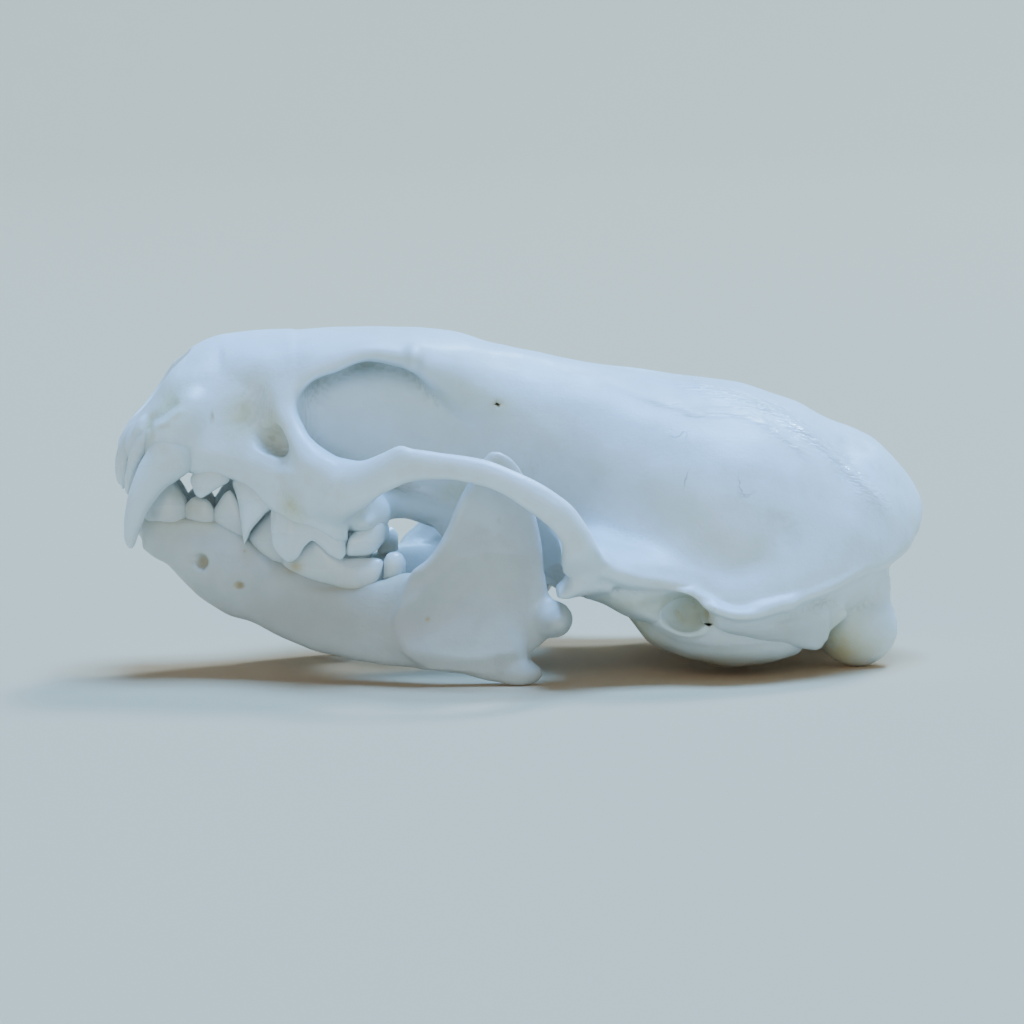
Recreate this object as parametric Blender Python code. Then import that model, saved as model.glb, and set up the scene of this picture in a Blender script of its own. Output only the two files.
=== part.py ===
"""Life-size skull of a mink with its lower jaw in place, lying as it rests on a table.

The nose points towards -X, the animal's left side towards -Y, and the table is z = 0.
Tables are in millimetres for the left side, with y counted outward from the midline.
"""

import math

import bmesh
import bpy
import numpy as np

MM = 0.001
RING = 22
TOOTH_RING = 8
GAP = 0.3

# planes across the cranium between the named regions
CUT_ROSTRUM = -20.85
CUT_ORBIT = -6.5
CUT_OCCIPUT = 23.15
CUT_ARCH_FRONT = -12.9
CUT_SUTURE = -3.6
ARCH_INNER = 11.6
# the rear arch cut: a point of it and its direction in side view
ARCH_REAR_POINT = (3.0, 14.0)
ARCH_REAR_LINE = (0.73, 0.68)

BONE = (0.80, 0.84, 0.86, 1.0)
BONE_JAW = (0.78, 0.83, 0.85, 1.0)

# x, top, bottom, half width, level of greatest width, upper power, lower power
ROSTRUM = (
    (-33.15, 19.3, 18.0, 1.8, 18.6, 2.0, 2.0),
    (-32.5, 20.5, 17.75, 3.3, 18.9, 2.0, 2.4),
    (-31.2, 22.4, 17.5, 4.7, 19.35, 2.0, 2.6),
    (-30.2, 23.95, 17.4, 5.6, 19.75, 2.0, 2.8),
    (-29.0, 25.8, 17.3, 6.4, 20.05, 2.0, 3.0),
    (-27.3, 26.8, 17.1, 6.9, 20.15, 1.95, 3.0),
    (-25.8, 27.55, 16.9, 6.8, 20.1, 1.9, 3.0),
    (-24.7, 27.9, 16.6, 6.6, 20.0, 1.9, 3.0),
    (-22.7, 28.1, 16.05, 6.7, 20.15, 2.0, 3.0),
    (-20.7, 28.25, 15.35, 7.3, 20.3, 2.1, 3.0),
    (-18.9, 28.3, 15.25, 7.9, 21.1, 2.3, 3.0),
    (-17.7, 28.2, 16.35, 7.4, 22.1, 2.3, 3.0),
)
FRONTAL = (
    (-24.2, 27.5, 23.0, 4.6, 24.9, 2.2, 2.0),
    (-21.2, 28.0, 22.0, 6.3, 24.15, 2.2, 2.0),
    (-18.8, 28.15, 21.15, 7.5, 23.85, 2.3, 2.2),
    (-17.4, 28.25, 21.95, 7.6, 24.6, 2.3, 2.2),
    (-15.2, 28.35, 22.85, 7.6, 25.55, 2.3, 2.2),
    (-12.8, 28.45, 23.3, 7.7, 26.3, 2.3, 2.2),
    (-10.4, 28.5, 23.0, 7.8, 26.3, 2.3, 2.2),
    (-8.8, 28.5, 22.25, 7.8, 26.05, 2.3, 2.2),
    (-7.4, 28.3, 21.3, 7.3, 25.4, 2.2, 2.2),
    (-5.4, 27.95, 19.75, 6.7, 24.4, 2.1, 2.2),
    (-2.7, 26.95, 17.8, 6.2, 22.85, 2.0, 2.2),
    (0.4, 26.1, 15.3, 5.9, 20.9, 2.0, 2.0),
)
SEPTUM = (
    (-22.1, 24.8, 16.6, 5.6, 19.7, 2.4, 2.4),
    (-18.1, 25.6, 14.6, 5.3, 20.8, 2.4, 2.4),
    (-14.1, 26.05, 13.2, 4.9, 21.9, 2.4, 2.4),
    (-10.2, 26.15, 12.9, 4.7, 22.0, 2.4, 2.4),
    (-6.1, 25.65, 11.3, 4.9, 21.1, 2.4, 2.4),
    (-2.1, 24.9, 9.1, 5.1, 20.2, 2.4, 2.4),
    (2.0, 23.8, 7.0, 5.6, 17.9, 2.3, 2.3),
    (6.1, 21.9, 6.0, 6.4, 15.0, 2.2, 2.2),
)
PALATE = (
    (-31.0, 19.25, 17.65, 4.0, 18.6, 3.0, 3.0),
    (-28.5, 19.9, 17.2, 6.1, 18.65, 3.0, 3.4),
    (-26.0, 19.95, 16.8, 6.3, 18.5, 3.0, 3.6),
    (-23.5, 19.55, 16.1, 6.9, 17.85, 3.0, 3.6),
    (-21.5, 19.25, 15.1, 7.8, 17.4, 3.0, 3.6),
    (-19.4, 18.75, 13.95, 9.2, 16.6, 3.0, 3.6),
    (-17.4, 18.1, 13.2, 10.2, 15.9, 3.0, 3.4),
    (-15.4, 17.5, 12.55, 10.6, 15.3, 3.0, 3.2),
    (-13.5, 16.75, 12.25, 10.1, 14.8, 2.8, 3.0),
    (-11.9, 15.9, 12.3, 8.4, 14.5, 2.4, 2.8),
    (-10.3, 15.65, 12.6, 6.0, 14.1, 2.2, 2.6),
    (-7.9, 15.65, 12.0, 4.6, 13.6, 2.2, 2.6),
    (-5.5, 15.3, 10.95, 4.3, 13.0, 2.2, 2.6),
)
BRAINCASE = (
    (-5.2, 26.9, 11.4, 5.2, 22.7, 2.0, 2.2),
    (-3.4, 27.2, 9.9, 5.8, 22.1, 2.0, 2.2),
    (-2.0, 26.8, 9.0, 5.9, 21.35, 2.0, 2.2),
    (0.4, 26.2, 7.3, 6.2, 20.05, 2.0, 2.3),
    (3.8, 25.45, 5.9, 7.7, 17.7, 2.0, 2.6),
    (7.2, 24.75, 5.3, 10.2, 15.4, 2.0, 2.6),
    (11.4, 24.1, 5.3, 12.8, 13.55, 2.05, 2.4),
    (15.6, 23.6, 4.5, 14.0, 12.2, 2.1, 2.4),
    (19.0, 22.95, 3.8, 14.0, 11.0, 2.1, 2.4),
    (21.5, 22.1, 3.3, 13.4, 10.25, 2.1, 2.4),
    (24.0, 21.0, 2.95, 12.3, 9.8, 2.1, 2.4),
    (26.4, 19.9, 2.65, 10.9, 9.75, 2.1, 2.2),
    (28.1, 19.2, 2.8, 9.7, 10.1, 2.1, 2.0),
    (29.2, 18.6, 3.85, 8.6, 10.8, 2.1, 2.0),
)
NUCHAL = (
    (15.5, 9.6, 5.3, 15.2, 6.4, 1.6, 3.0),
    (17.5, 15.6, 5.0, 15.5, 6.3, 1.7, 3.0),
    (19.9, 18.85, 5.4, 15.0, 6.5, 1.8, 3.0),
    (22.1, 20.1, 5.8, 14.2, 7.0, 1.9, 3.0),
    (24.4, 20.25, 6.45, 13.0, 7.7, 2.0, 3.0),
    (26.4, 19.75, 7.15, 11.7, 8.55, 2.0, 3.0),
    (28.1, 19.15, 7.75, 10.4, 9.05, 2.1, 3.0),
    (29.7, 18.3, 8.15, 9.0, 9.55, 2.1, 3.0),
    (30.8, 17.15, 8.75, 7.4, 10.2, 2.1, 3.0),
    (31.7, 16.0, 9.3, 5.9, 10.75, 2.1, 3.0),
    (32.4, 15.05, 10.05, 4.3, 11.4, 2.1, 3.0),
    (33.1, 13.9, 11.1, 2.6, 12.2, 2.1, 2.6),
    (33.5, 13.1, 12.05, 0.9, 12.6, 2.0, 2.0),
)
SHELF = (
    (2.3, 11.7, 9.3, 12.4, 4.5, 10.5, 2.4, 2.4),
    (3.7, 11.6, 8.7, 12.6, 5.0, 9.9, 2.4, 2.4),
    (5.7, 11.5, 7.9, 12.6, 4.4, 9.1, 2.2, 2.4),
    (8.6, 11.1, 7.2, 12.4, 3.6, 8.55, 2.2, 2.4),
    (11.8, 11.0, 6.8, 12.4, 3.2, 8.2, 2.2, 2.4),
    (13.6, 10.4, 6.3, 12.6, 2.9, 7.7, 2.2, 2.4),
    (15.4, 9.5, 5.35, 12.8, 2.6, 6.9, 2.2, 2.4),
)
GLENOID_WALL = (
    (2.2, 7.9, 7.15, 12.9, 2.6, 7.5, 2.2, 2.2),
    (2.8, 8.5, 7.1, 13.0, 3.2, 7.7, 2.4, 2.4),
    (3.6, 9.9, 7.25, 13.0, 3.6, 8.3, 2.6, 2.4),
    (4.8, 9.9, 7.4, 12.6, 3.6, 8.45, 2.4, 2.4),
    (6.4, 9.4, 7.3, 12.0, 3.2, 8.2, 2.2, 2.2),
)
CHEEK_ROOT = (
    (-19.3, 18.85, 14.65, 8.6, 1.4, 16.6, 2.2, 2.2),
    (-18.1, 19.5, 13.95, 9.2, 2.0, 16.5, 2.2, 2.2),
    (-16.7, 19.0, 13.35, 9.8, 2.5, 16.0, 2.4, 2.4),
    (-15.1, 18.2, 12.8, 10.3, 3.0, 15.7, 2.4, 2.4),
    (-13.7, 17.9, 13.2, 11.0, 3.0, 15.8, 2.4, 2.4),
    (-12.7, 17.5, 14.3, 11.8, 2.4, 16.1, 2.2, 2.2),
)
# upper edge x and z, lower edge x and z, distance out, half thickness
RIM_BAR = (
    (-18.4, 24.35, -19.5, 23.7, 7.4, 0.9),
    (-18.2, 23.05, -19.7, 22.5, 8.4, 0.9),
    (-17.95, 21.55, -19.45, 20.75, 9.5, 0.9),
    (-17.2, 20.1, -18.9, 19.05, 10.4, 1.0),
    (-15.95, 18.8, -17.75, 17.35, 11.2, 1.3),
    (-14.75, 18.2, -16.5, 15.85, 11.8, 1.6),
)
ARCH = (
    (-15.55, 17.85, -16.25, 14.35, 10.9, 1.5),
    (-14.55, 18.25, -14.85, 14.3, 12.2, 1.5),
    (-13.15, 18.5, -13.25, 15.0, 13.5, 1.35),
    (-11.95, 19.05, -12.05, 15.85, 14.5, 1.15),
    (-10.45, 19.8, -10.45, 16.7, 15.5, 1.0),
    (-9.35, 19.55, -9.25, 17.05, 16.0, 0.9),
    (-7.95, 19.4, -7.95, 17.15, 16.5, 0.85),
    (-5.8, 19.15, -5.95, 17.05, 17.2, 0.85),
    (-3.6, 18.75, -4.05, 16.7, 17.8, 0.85),
    (-1.7, 18.0, -2.5, 16.1, 18.2, 0.9),
    (0.15, 17.1, -1.0, 15.15, 18.5, 0.95),
    (1.8, 16.05, 0.45, 14.1, 18.5, 1.0),
    (3.2, 14.95, 1.5, 13.1, 18.3, 1.05),
    (4.25, 13.4, 2.2, 11.95, 17.9, 1.2),
    (5.2, 11.55, 2.35, 10.55, 17.0, 1.6),
    (5.95, 10.3, 2.55, 9.4, 15.6, 1.8),
)
# rows across the jaw: upper edge, lower edge, distance out, half thickness
JAW_BODY = (
    (-31.65, 13.0, -31.7, 11.8, 1.45, 1.1),
    (-30.65, 13.15, -30.05, 10.25, 2.3, 1.9),
    (-29.0, 12.95, -28.0, 7.9, 2.8, 2.35),
    (-27.1, 12.75, -26.25, 6.3, 3.5, 2.4),
    (-25.2, 12.5, -24.5, 5.25, 4.5, 2.1),
    (-22.85, 11.3, -22.25, 4.55, 5.6, 1.75),
    (-20.3, 9.95, -20.0, 3.55, 6.8, 1.65),
    (-17.2, 8.65, -17.05, 2.45, 8.1, 1.65),
    (-14.8, 8.05, -14.5, 1.95, 9.0, 1.65),
    (-12.2, 8.4, -11.8, 1.55, 10.0, 1.6),
    (-9.7, 9.1, -9.05, 1.35, 11.0, 1.45),
    (-6.65, 8.45, -6.45, 1.2, 11.9, 1.15),
    (-3.6, 7.0, -3.4, 0.4, 12.4, 0.95),
    (-1.1, 4.2, -0.8, -0.08, 12.6, 0.85),
)
# level, front x, rear x, distance out, half thickness
JAW_RAMUS = (
    (1.5, -8.4, 0.1, 12.0, 0.8),
    (2.4, -9.6, 0.05, 12.15, 0.85),
    (3.3, -10.3, 0.95, 12.2, 0.9),
    (4.9, -10.9, 1.5, 12.3, 0.9),
    (7.1, -10.5, 1.5, 12.4, 0.9),
    (9.1, -9.55, 1.0, 12.5, 0.9),
    (10.4, -8.1, 0.9, 12.7, 0.9),
    (11.65, -7.2, 0.75, 12.8, 0.85),
    (13.2, -6.4, 0.45, 12.95, 0.8),
    (15.2, -5.5, 0.0, 13.1, 0.7),
    (16.65, -4.7, -0.4, 13.15, 0.62),
    (17.85, -4.0, -0.9, 13.2, 0.55),
    (18.6, -3.4, -1.7, 13.25, 0.5),
    (18.95, -3.0, -2.3, 13.25, 0.4),
)
# x, top, bottom, distance out, half width, level of greatest width, powers
BULLA = (
    (7.9, 6.2, 5.2, 7.2, 1.0, 5.7, 2.0, 2.0),
    (8.5, 6.5, 4.4, 7.4, 2.2, 5.5, 2.0, 2.0),
    (9.3, 6.5, 3.3, 7.7, 3.1, 5.1, 2.0, 2.2),
    (11.6, 6.4, 1.9, 8.2, 4.3, 4.5, 2.0, 2.3),
    (14.1, 5.9, 1.2, 8.6, 4.9, 4.0, 2.0, 2.4),
    (16.5, 5.4, 0.83, 8.8, 5.0, 3.7, 2.0, 2.4),
    (19.0, 4.9, 1.02, 9.0, 4.6, 3.4, 2.0, 2.4),
    (21.1, 4.6, 1.42, 9.1, 3.6, 3.2, 2.0, 2.2),
    (22.2, 4.3, 1.9, 9.2, 2.3, 3.2, 2.0, 2.0),
    (22.8, 3.9, 2.7, 9.2, 1.2, 3.4, 2.0, 2.0),
)
# level, x, distance out, half length, half breadth
CANINE = (
    (20.3, -28.45, 5.6, 1.5, 1.2),
    (19.05, -29.05, 5.7, 1.75, 1.35),
    (17.85, -29.45, 5.85, 1.9, 1.35),
    (16.65, -30.05, 6.0, 1.75, 1.2),
    (15.25, -31.4, 6.15, 0.98, 0.95),
    (13.3, -31.9, 6.3, 0.72, 0.7),
    (11.8, -32.1, 6.35, 0.5, 0.5),
    (11.05, -32.15, 6.35, 0.2, 0.2),
)
INCISORS = (
    ((20.3, -31.1, 3.0, 0.45, 0.5), (18.35, -31.55, 3.2, 0.8, 0.6), (15.2, -32.35, 3.3, 0.15, 0.2)),
    ((19.0, -32.35, 1.9, 0.45, 0.5), (17.35, -32.8, 1.95, 0.6, 0.55), (15.45, -32.9, 2.0, 0.2, 0.35)),
    ((18.85, -32.55, 0.72, 0.4, 0.45), (17.3, -33.05, 0.74, 0.45, 0.5), (15.7, -33.1, 0.76, 0.2, 0.4)),
)
# crown length, breadth, base level, x, distance out, tip level, tip x
UPPER_CHEEK_TEETH = (
    (2.6, 1.1, 16.75, -26.15, 6.1, 14.85, -26.5),
    (3.3, 1.4, 15.95, -22.55, 7.0, 12.45, -22.65),
    (3.2, 1.5, 14.2, -18.75, 8.7, 9.95, -19.15),
    (3.0, 1.3, 13.6, -16.2, 9.8, 10.4, -15.95),
)
LOWER_CHEEK_TEETH = (
    (2.0, 0.9, 12.8, -26.4, 4.5, 14.3, -26.75),
    (2.7, 1.0, 12.1, -23.95, 5.3, 15.45, -24.05),
    (3.1, 1.1, 10.5, -21.1, 6.4, 13.55, -20.9),
    (3.6, 1.2, 8.7, -18.05, 7.5, 11.2, -17.8),
    (3.4, 1.3, 7.9, -14.6, 8.5, 10.2, -14.85),
    (1.5, 1.2, 8.5, -10.6, 9.5, 10.4, -10.65),
)
LOWER_CANINE = (
    (11.95, -29.2, 3.1, 1.4, 1.15),
    (13.55, -29.45, 3.15, 1.35, 1.05),
    (15.15, -29.85, 3.2, 0.95, 0.8),
    (16.55, -30.2, 3.3, 0.3, 0.3),
)
PTERYGOID = (
    (-6.5, 13.5, -6.65, 11.1, 3.6, 0.6),
    (-2.85, 11.7, -2.95, 8.95, 3.4, 0.45),
    (0.7, 9.75, 0.6, 7.5, 3.2, 0.4),
    (3.05, 8.4, 2.9, 6.75, 3.1, 0.35),
    (4.7, 7.2, 4.9, 6.4, 3.1, 0.3),
)
CARNASSIAL = (
    (-20.35, 14.75, -20.15, 13.15, 8.3, 0.5),
    (-19.3, 14.85, -19.2, 10.8, 8.8, 0.7),
    (-17.85, 14.35, -17.65, 10.8, 9.4, 0.65),
    (-16.25, 14.0, -16.05, 10.6, 9.8, 0.65),
    (-15.05, 13.7, -14.85, 10.85, 10.1, 0.5),
)
LOWER_CARNASSIAL = (
    (-19.6, 10.4, -19.45, 8.6, 7.0, 0.55),
    (-18.2, 11.0, -18.1, 8.1, 7.5, 0.6),
    (-16.15, 10.1, -16.1, 7.2, 8.0, 0.6),
    (-13.75, 9.95, -13.65, 7.3, 8.7, 0.7),
    (-12.05, 9.75, -11.9, 7.8, 9.2, 0.6),
)
# distance out of each lower incisor, and the level, x and half sizes of their sections
LOWER_INCISORS = (0.5, 1.3)
LOWER_INCISOR = ((12.4, -31.15, 0.35, 0.3), (13.6, -31.45, 0.4, 0.38), (14.7, -31.65, 0.2, 0.3))
# rounded forms of each side: centre, radii, rings, segments
SWELLINGS = {
    "postorbital": ((-8.95, 7.5, 26.3), (1.0, 1.5, 0.8), 6, 10),
    "mastoid": ((16.9, 13.7, 6.3), (1.9, 1.9, 1.7), 8, 12),
    "condyle": ((27.35, 5.6, 3.15), (3.45, 2.7, 3.25), 10, 16),
    "condyle_top": ((28.35, 5.3, 6.7), (1.7, 1.8, 2.2), 8, 12),
    "paroccipital": ((24.4, 9.6, 4.2), (1.0, 1.6, 2.8), 8, 10),
    "molar": ((-13.2, 7.9, 12.0), (1.3, 2.5, 1.5), 8, 12),
    "carnassial_lobe": ((-19.2, 6.5, 13.9), (1.0, 1.1, 1.6), 6, 10),
}
INFRAORBITAL = ((-19.4, 8.3, 20.5), (4.2, 1.1, 1.7), 8, 10)
EAR_TUBE = ((13.4, 12.4, 5.1), (1.9, 2.0, 1.7), 8, 12)
EAR_OPENING = ((13.7, 14.3, 5.2), (0.8, 2.2, 1.0), 8, 10)
JAW_JOINT = ((1.95, 13.1, 5.4), (1.55, 3.1, 1.45), 10, 14)
JAW_ANGLE = ((-0.75, 12.6, 0.93), (1.65, 0.95, 1.0), 8, 12)
MASSETERIC_FOSSA = ((-5.2, 15.0, 6.4), (7.0, 2.0, 3.9), 8, 14)
# openings on the midline
NASAL_APERTURE = ((-29.9, 0.0, 24.4), (5.0, 3.1, 3.5), 10, 14)
FORAMEN_MAGNUM = ((30.0, 0.0, 6.6), (6.5, 4.2, 3.2), 8, 14)
CHOANAE = ((-2.0, 0.0, 8.7), (7.5, 2.4, 2.4), 8, 12)


def curve_through(rows, per_span):
    """Return the table with rows added between by a curve through its own rows."""
    table = np.array(rows, dtype=float)
    ends = np.vstack((2 * table[0] - table[1], table, 2 * table[-1] - table[-2]))
    parts = []
    for k in range(1, len(ends) - 2):
        p0, p1, p2, p3 = ends[k - 1:k + 3]
        t = np.linspace(0.0, 1.0, per_span, endpoint=False)[:, None]
        parts.append(
            0.5 * (2 * p1 + (p2 - p0) * t + (2 * p0 - 5 * p1 + 4 * p2 - p3) * t**2
                   + (3 * p1 - p0 - 3 * p2 + p3) * t**3)
        )
    parts.append(table[-1:])
    return np.vstack(parts)


def outline(count, power_up, power_down):
    """Return the unit section: a rounded box, rounder or squarer above and below."""
    angle = np.arange(count) * 2 * math.pi / count
    cosine, sine = np.cos(angle), np.sin(angle)
    power = np.where(sine >= 0, power_up, power_down)
    u = np.sign(cosine) * np.abs(cosine) ** (2 / power)
    v = np.sign(sine) * np.abs(sine) ** (2 / power)
    return u, v


def add_object(name, points, faces):
    """Make a closed mesh object from points in millimetres."""
    mesh = bpy.data.meshes.new(name)
    mesh.from_pydata([tuple(p) for p in np.asarray(points) * MM], [], faces)
    body = bmesh.new()
    body.from_mesh(mesh)
    bmesh.ops.recalc_face_normals(body, faces=body.faces)
    bmesh.ops.triangulate(body, faces=[f for f in body.faces if len(f.verts) > 4])
    body.to_mesh(mesh)
    body.free()
    made = bpy.data.objects.new(name, mesh)
    bpy.context.scene.collection.objects.link(made)
    return made


def skin(name, rings):
    """Join rings of points into one closed body."""
    rings = np.asarray(rings)
    many, count = rings.shape[:2]
    faces = []
    for i in range(many - 1):
        for j in range(count):
            k = (j + 1) % count
            faces.append((i * count + j, i * count + k, (i + 1) * count + k, (i + 1) * count + j))
    faces.append(tuple(range(count)))
    faces.append(tuple(range((many - 1) * count, many * count)))
    return add_object(name, rings.reshape(-1, 3), faces)


def cross_body(name, rows, side=0, per_span=1, count=RING):
    """Body of sections across X; side -1 or 1 puts it left or right of the midline."""
    rings = []
    for row in curve_through(rows, per_span):
        if side:
            x, top, low, out, half, wide, up, down = row
        else:
            x, top, low, half, wide, up, down = row
            out = 0.0
        u, v = outline(count, up, down)
        z = np.where(v >= 0, wide + v * (top - wide), wide + v * (wide - low))
        rings.append(np.stack((np.full(count, x), side * out + half * u, z), axis=1))
    return skin(name, rings)


def edge_body(name, rows, side, power=2.4, per_span=1, count=12):
    """Bar or blade between an upper and a lower edge given in side view."""
    rings = []
    for x0, z0, x1, z1, out, half in curve_through(rows, per_span):
        u, v = outline(count, power, power)
        x = (x0 + x1) / 2 + v * (x0 - x1) / 2
        z = (z0 + z1) / 2 + v * (z0 - z1) / 2
        rings.append(np.stack((x, side * out + half * u, z), axis=1))
    return skin(name, rings)


def plate_body(name, rows, side, power=3.0, per_span=1, count=14):
    """Upright plate of level sections between a front and a rear edge."""
    rings = []
    for level, front, rear, out, half in curve_through(rows, per_span):
        u, v = outline(count, power, power)
        x = (front + rear) / 2 + u * (rear - front) / 2
        rings.append(np.stack((x, side * out + half * v, np.full(count, level)), axis=1))
    return skin(name, rings)


def spike(name, rows, side, per_span=1, count=TOOTH_RING):
    """Curved tooth of level oval sections."""
    angle = np.arange(count) * 2 * math.pi / count
    rings = []
    for level, x, out, half_x, half_y in curve_through(rows, per_span):
        ring = np.stack(
            (x + half_x * np.cos(angle), side * out + half_y * np.sin(angle), np.full(count, level)), axis=1
        )
        rings.append(ring)
    return skin(name, rings)


def crown(name, size, side):
    """Cheek tooth: an oval root and crown that narrows to one blunt cusp."""
    length, breadth, base, x, out, tip, tip_x = size
    rise = tip - base
    rows = (
        (base - 0.35 * rise, x, out, 0.46 * length, 0.5 * breadth),
        (base, x, out, 0.50 * length, 0.55 * breadth),
        (base + 0.35 * rise, x + 0.3 * (tip_x - x), out, 0.42 * length, 0.48 * breadth),
        (base + 0.75 * rise, x + 0.7 * (tip_x - x), out, 0.20 * length, 0.30 * breadth),
        (tip, tip_x, out, 0.05 * length, 0.10 * breadth),
    )
    return spike(name, rows, side)


def ball(name, form, side=1, tilt=0.0, wider=0.0):
    """Ellipsoid; tilt turns it about Y, in degrees, and wider adds to its radii."""
    centre, radii, rings, segments = form
    bpy.ops.mesh.primitive_uv_sphere_add(segments=segments, ring_count=rings, radius=1.0)
    made = bpy.context.object
    made.name = name
    points = np.array([v.co[:] for v in made.data.vertices]) * (np.array(radii) + wider)
    turn = math.radians(tilt)
    x = points[:, 0] * math.cos(turn) + points[:, 2] * math.sin(turn)
    z = -points[:, 0] * math.sin(turn) + points[:, 2] * math.cos(turn)
    placed = np.stack((x, points[:, 1], z), axis=1) + np.array(centre) * (1, side, 1)
    made.data.vertices.foreach_set("co", (placed * MM).ravel())
    return made


def box(name, low, high):
    """Block between two corners."""
    low, high = np.array(low), np.array(high)
    corners = [(i, j, k) for i in (0, 1) for j in (0, 1) for k in (0, 1)]
    points = [low + (high - low) * np.array(c) for c in corners]
    faces = [(0, 1, 3, 2), (4, 6, 7, 5), (0, 4, 5, 1), (2, 3, 7, 6), (0, 2, 6, 4), (1, 5, 7, 3)]
    return add_object(name, points, faces)


def prism(name, corners, near, far):
    """Block whose outline is given in side view, between two distances out."""
    many = len(corners)
    points = [(x, y, z) for y in (near, far) for x, z in corners]
    faces = [(k, (k + 1) % many, many + (k + 1) % many, many + k) for k in range(many)]
    faces += [tuple(range(many)), tuple(range(many, 2 * many))]
    return add_object(name, points, faces)


def grown(rows, by):
    """Return a table of sections made larger all round, for a clearance."""
    table = np.array(rows, dtype=float)
    table[:, 1] += by
    table[:, 2] -= by
    table[:, 4] += by
    table[0, 0] -= by
    table[-1, 0] += by
    return table


def discard(made):
    """Remove an object and its mesh."""
    mesh = made.data
    bpy.data.objects.remove(made, do_unlink=True)
    bpy.data.meshes.remove(mesh)


def combine(base, others, operation):
    """Apply one Boolean of the other objects to the base, then remove them."""
    group = bpy.data.collections.new("operands")
    bpy.context.scene.collection.children.link(group)
    for other in others:
        group.objects.link(other)
    step = base.modifiers.new("joined", "BOOLEAN")
    step.operation = operation
    step.solver = "MANIFOLD"
    step.operand_type = "COLLECTION"
    step.collection = group
    bpy.context.view_layer.update()
    shown = base.evaluated_get(bpy.context.evaluated_depsgraph_get())
    mesh = bpy.data.meshes.new_from_object(shown)
    base.modifiers.clear()
    old = base.data
    base.data = mesh
    bpy.data.meshes.remove(old)
    for other in list(others):
        discard(other)
    bpy.data.collections.remove(group)
    return base


def keep_largest(made):
    """Drop every closed surface but the one of greatest volume."""
    body = bmesh.new()
    body.from_mesh(made.data)
    body.verts.ensure_lookup_table()
    seen = np.zeros(len(body.verts), dtype=bool)
    shells = []
    for start in body.verts:
        if seen[start.index]:
            continue
        seen[start.index] = True
        stack, shell = [start], []
        while stack:
            vert = stack.pop()
            shell.append(vert)
            for edge in vert.link_edges:
                other = edge.other_vert(vert)
                if not seen[other.index]:
                    seen[other.index] = True
                    stack.append(other)
        points = np.array([v.co[:] for v in shell])
        shells.append((float(np.prod(np.ptp(points, axis=0) + 1e-9)), shell))
    shells.sort(key=lambda item: item[0])
    for _, shell in shells[:-1]:
        bmesh.ops.delete(body, geom=shell, context="VERTS")
    body.to_mesh(made.data)
    body.free()
    return made


def duplicate(whole, name):
    """Return a second object with its own copy of the mesh."""
    copy = bpy.data.objects.new(name, whole.data.copy())
    bpy.context.scene.collection.objects.link(copy)
    return copy


def finish(made, name, colour):
    """Name a node, give it its material and put it in the skull's collection."""
    made.name = name
    made.data.name = name
    material = bpy.data.materials.new(name)
    material.use_nodes = True
    shader = material.node_tree.nodes["Principled BSDF"]
    shader.inputs["Base Color"].default_value = colour
    shader.inputs["Roughness"].default_value = 0.38
    made.data.materials.clear()
    made.data.materials.append(material)
    made.data.shade_smooth()
    for group in list(made.users_collection):
        group.objects.unlink(made)
    bpy.data.collections["mink_skull"].objects.link(made)


def arch_corners(word, by):
    """Side outline of the block that holds one piece of the arch, drawn in by a distance."""
    if word == "jugal":
        front, rear = CUT_ARCH_FRONT + by, CUT_SUTURE - by
        return ((front, 5.0), (rear, 5.0), (rear, 40.0), (front, 40.0))
    start = CUT_SUTURE + by
    dx, dz = ARCH_REAR_LINE
    x, z = ARCH_REAR_POINT[0] - dz * by, ARCH_REAR_POINT[1] + dx * by
    drop = (x - start) / dx
    return ((start, z - drop * dz), (x + 15 * dx, z + 15 * dz), (start, 40.0))


def arch_block(word, side, by):
    """Block that holds one piece of the arch."""
    return prism("arch_block", arch_corners(word, by), side * (ARCH_INNER + by), side * 40.0)


def build_cranium():
    """Build the whole cranium with its upper teeth as one body."""
    parts = [
        cross_body("rostrum_core", ROSTRUM),
        cross_body("frontal", FRONTAL),
        cross_body("septum", SEPTUM, count=16),
        cross_body("palate", PALATE, count=18),
        cross_body("nuchal", NUCHAL, count=22),
    ]
    for side in (-1, 1):
        parts += [
            cross_body("shelf", SHELF, side, count=12),
            cross_body("glenoid_wall", GLENOID_WALL, side, count=12),
            cross_body("cheek_root", CHEEK_ROOT, side, count=12),
            edge_body("rim_bar", RIM_BAR, side, count=8),
            edge_body("arch", ARCH, side),
            edge_body("pterygoid", PTERYGOID, side, count=8),
            edge_body("carnassial", CARNASSIAL, side, count=8),
            spike("canine", CANINE, side, count=12),
        ]
        parts += [ball(name, form, side) for name, form in SWELLINGS.items()]
        parts += [crown("upper_tooth", size, side) for size in UPPER_CHEEK_TEETH]
        parts += [spike("incisor", rows, side) for rows in INCISORS]
    whole = combine(cross_body("cranium", BRAINCASE), parts, "UNION")
    hollows = [
        ball("nasal_aperture", NASAL_APERTURE, tilt=47.0),
        ball("foramen_magnum", FORAMEN_MAGNUM, tilt=10.0),
        ball("choanae", CHOANAE, tilt=18.0),
    ]
    for side in (-1, 1):
        hollows += [
            ball("infraorbital", INFRAORBITAL, side, tilt=14.0),
            cross_body("bulla_space", grown(BULLA, GAP), side, count=20),
            ball("tube_space", EAR_TUBE, side, wider=GAP),
        ]
    return keep_largest(combine(whole, hollows, "DIFFERENCE"))


def build_bulla(side):
    """Build one inflated ear capsule with its short outer tube and ear opening."""
    body = combine(cross_body("bulla", BULLA, side, count=20), [ball("tube", EAR_TUBE, side)], "UNION")
    return keep_largest(combine(body, [ball("meatus", EAR_OPENING, side)], "DIFFERENCE"))


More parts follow.
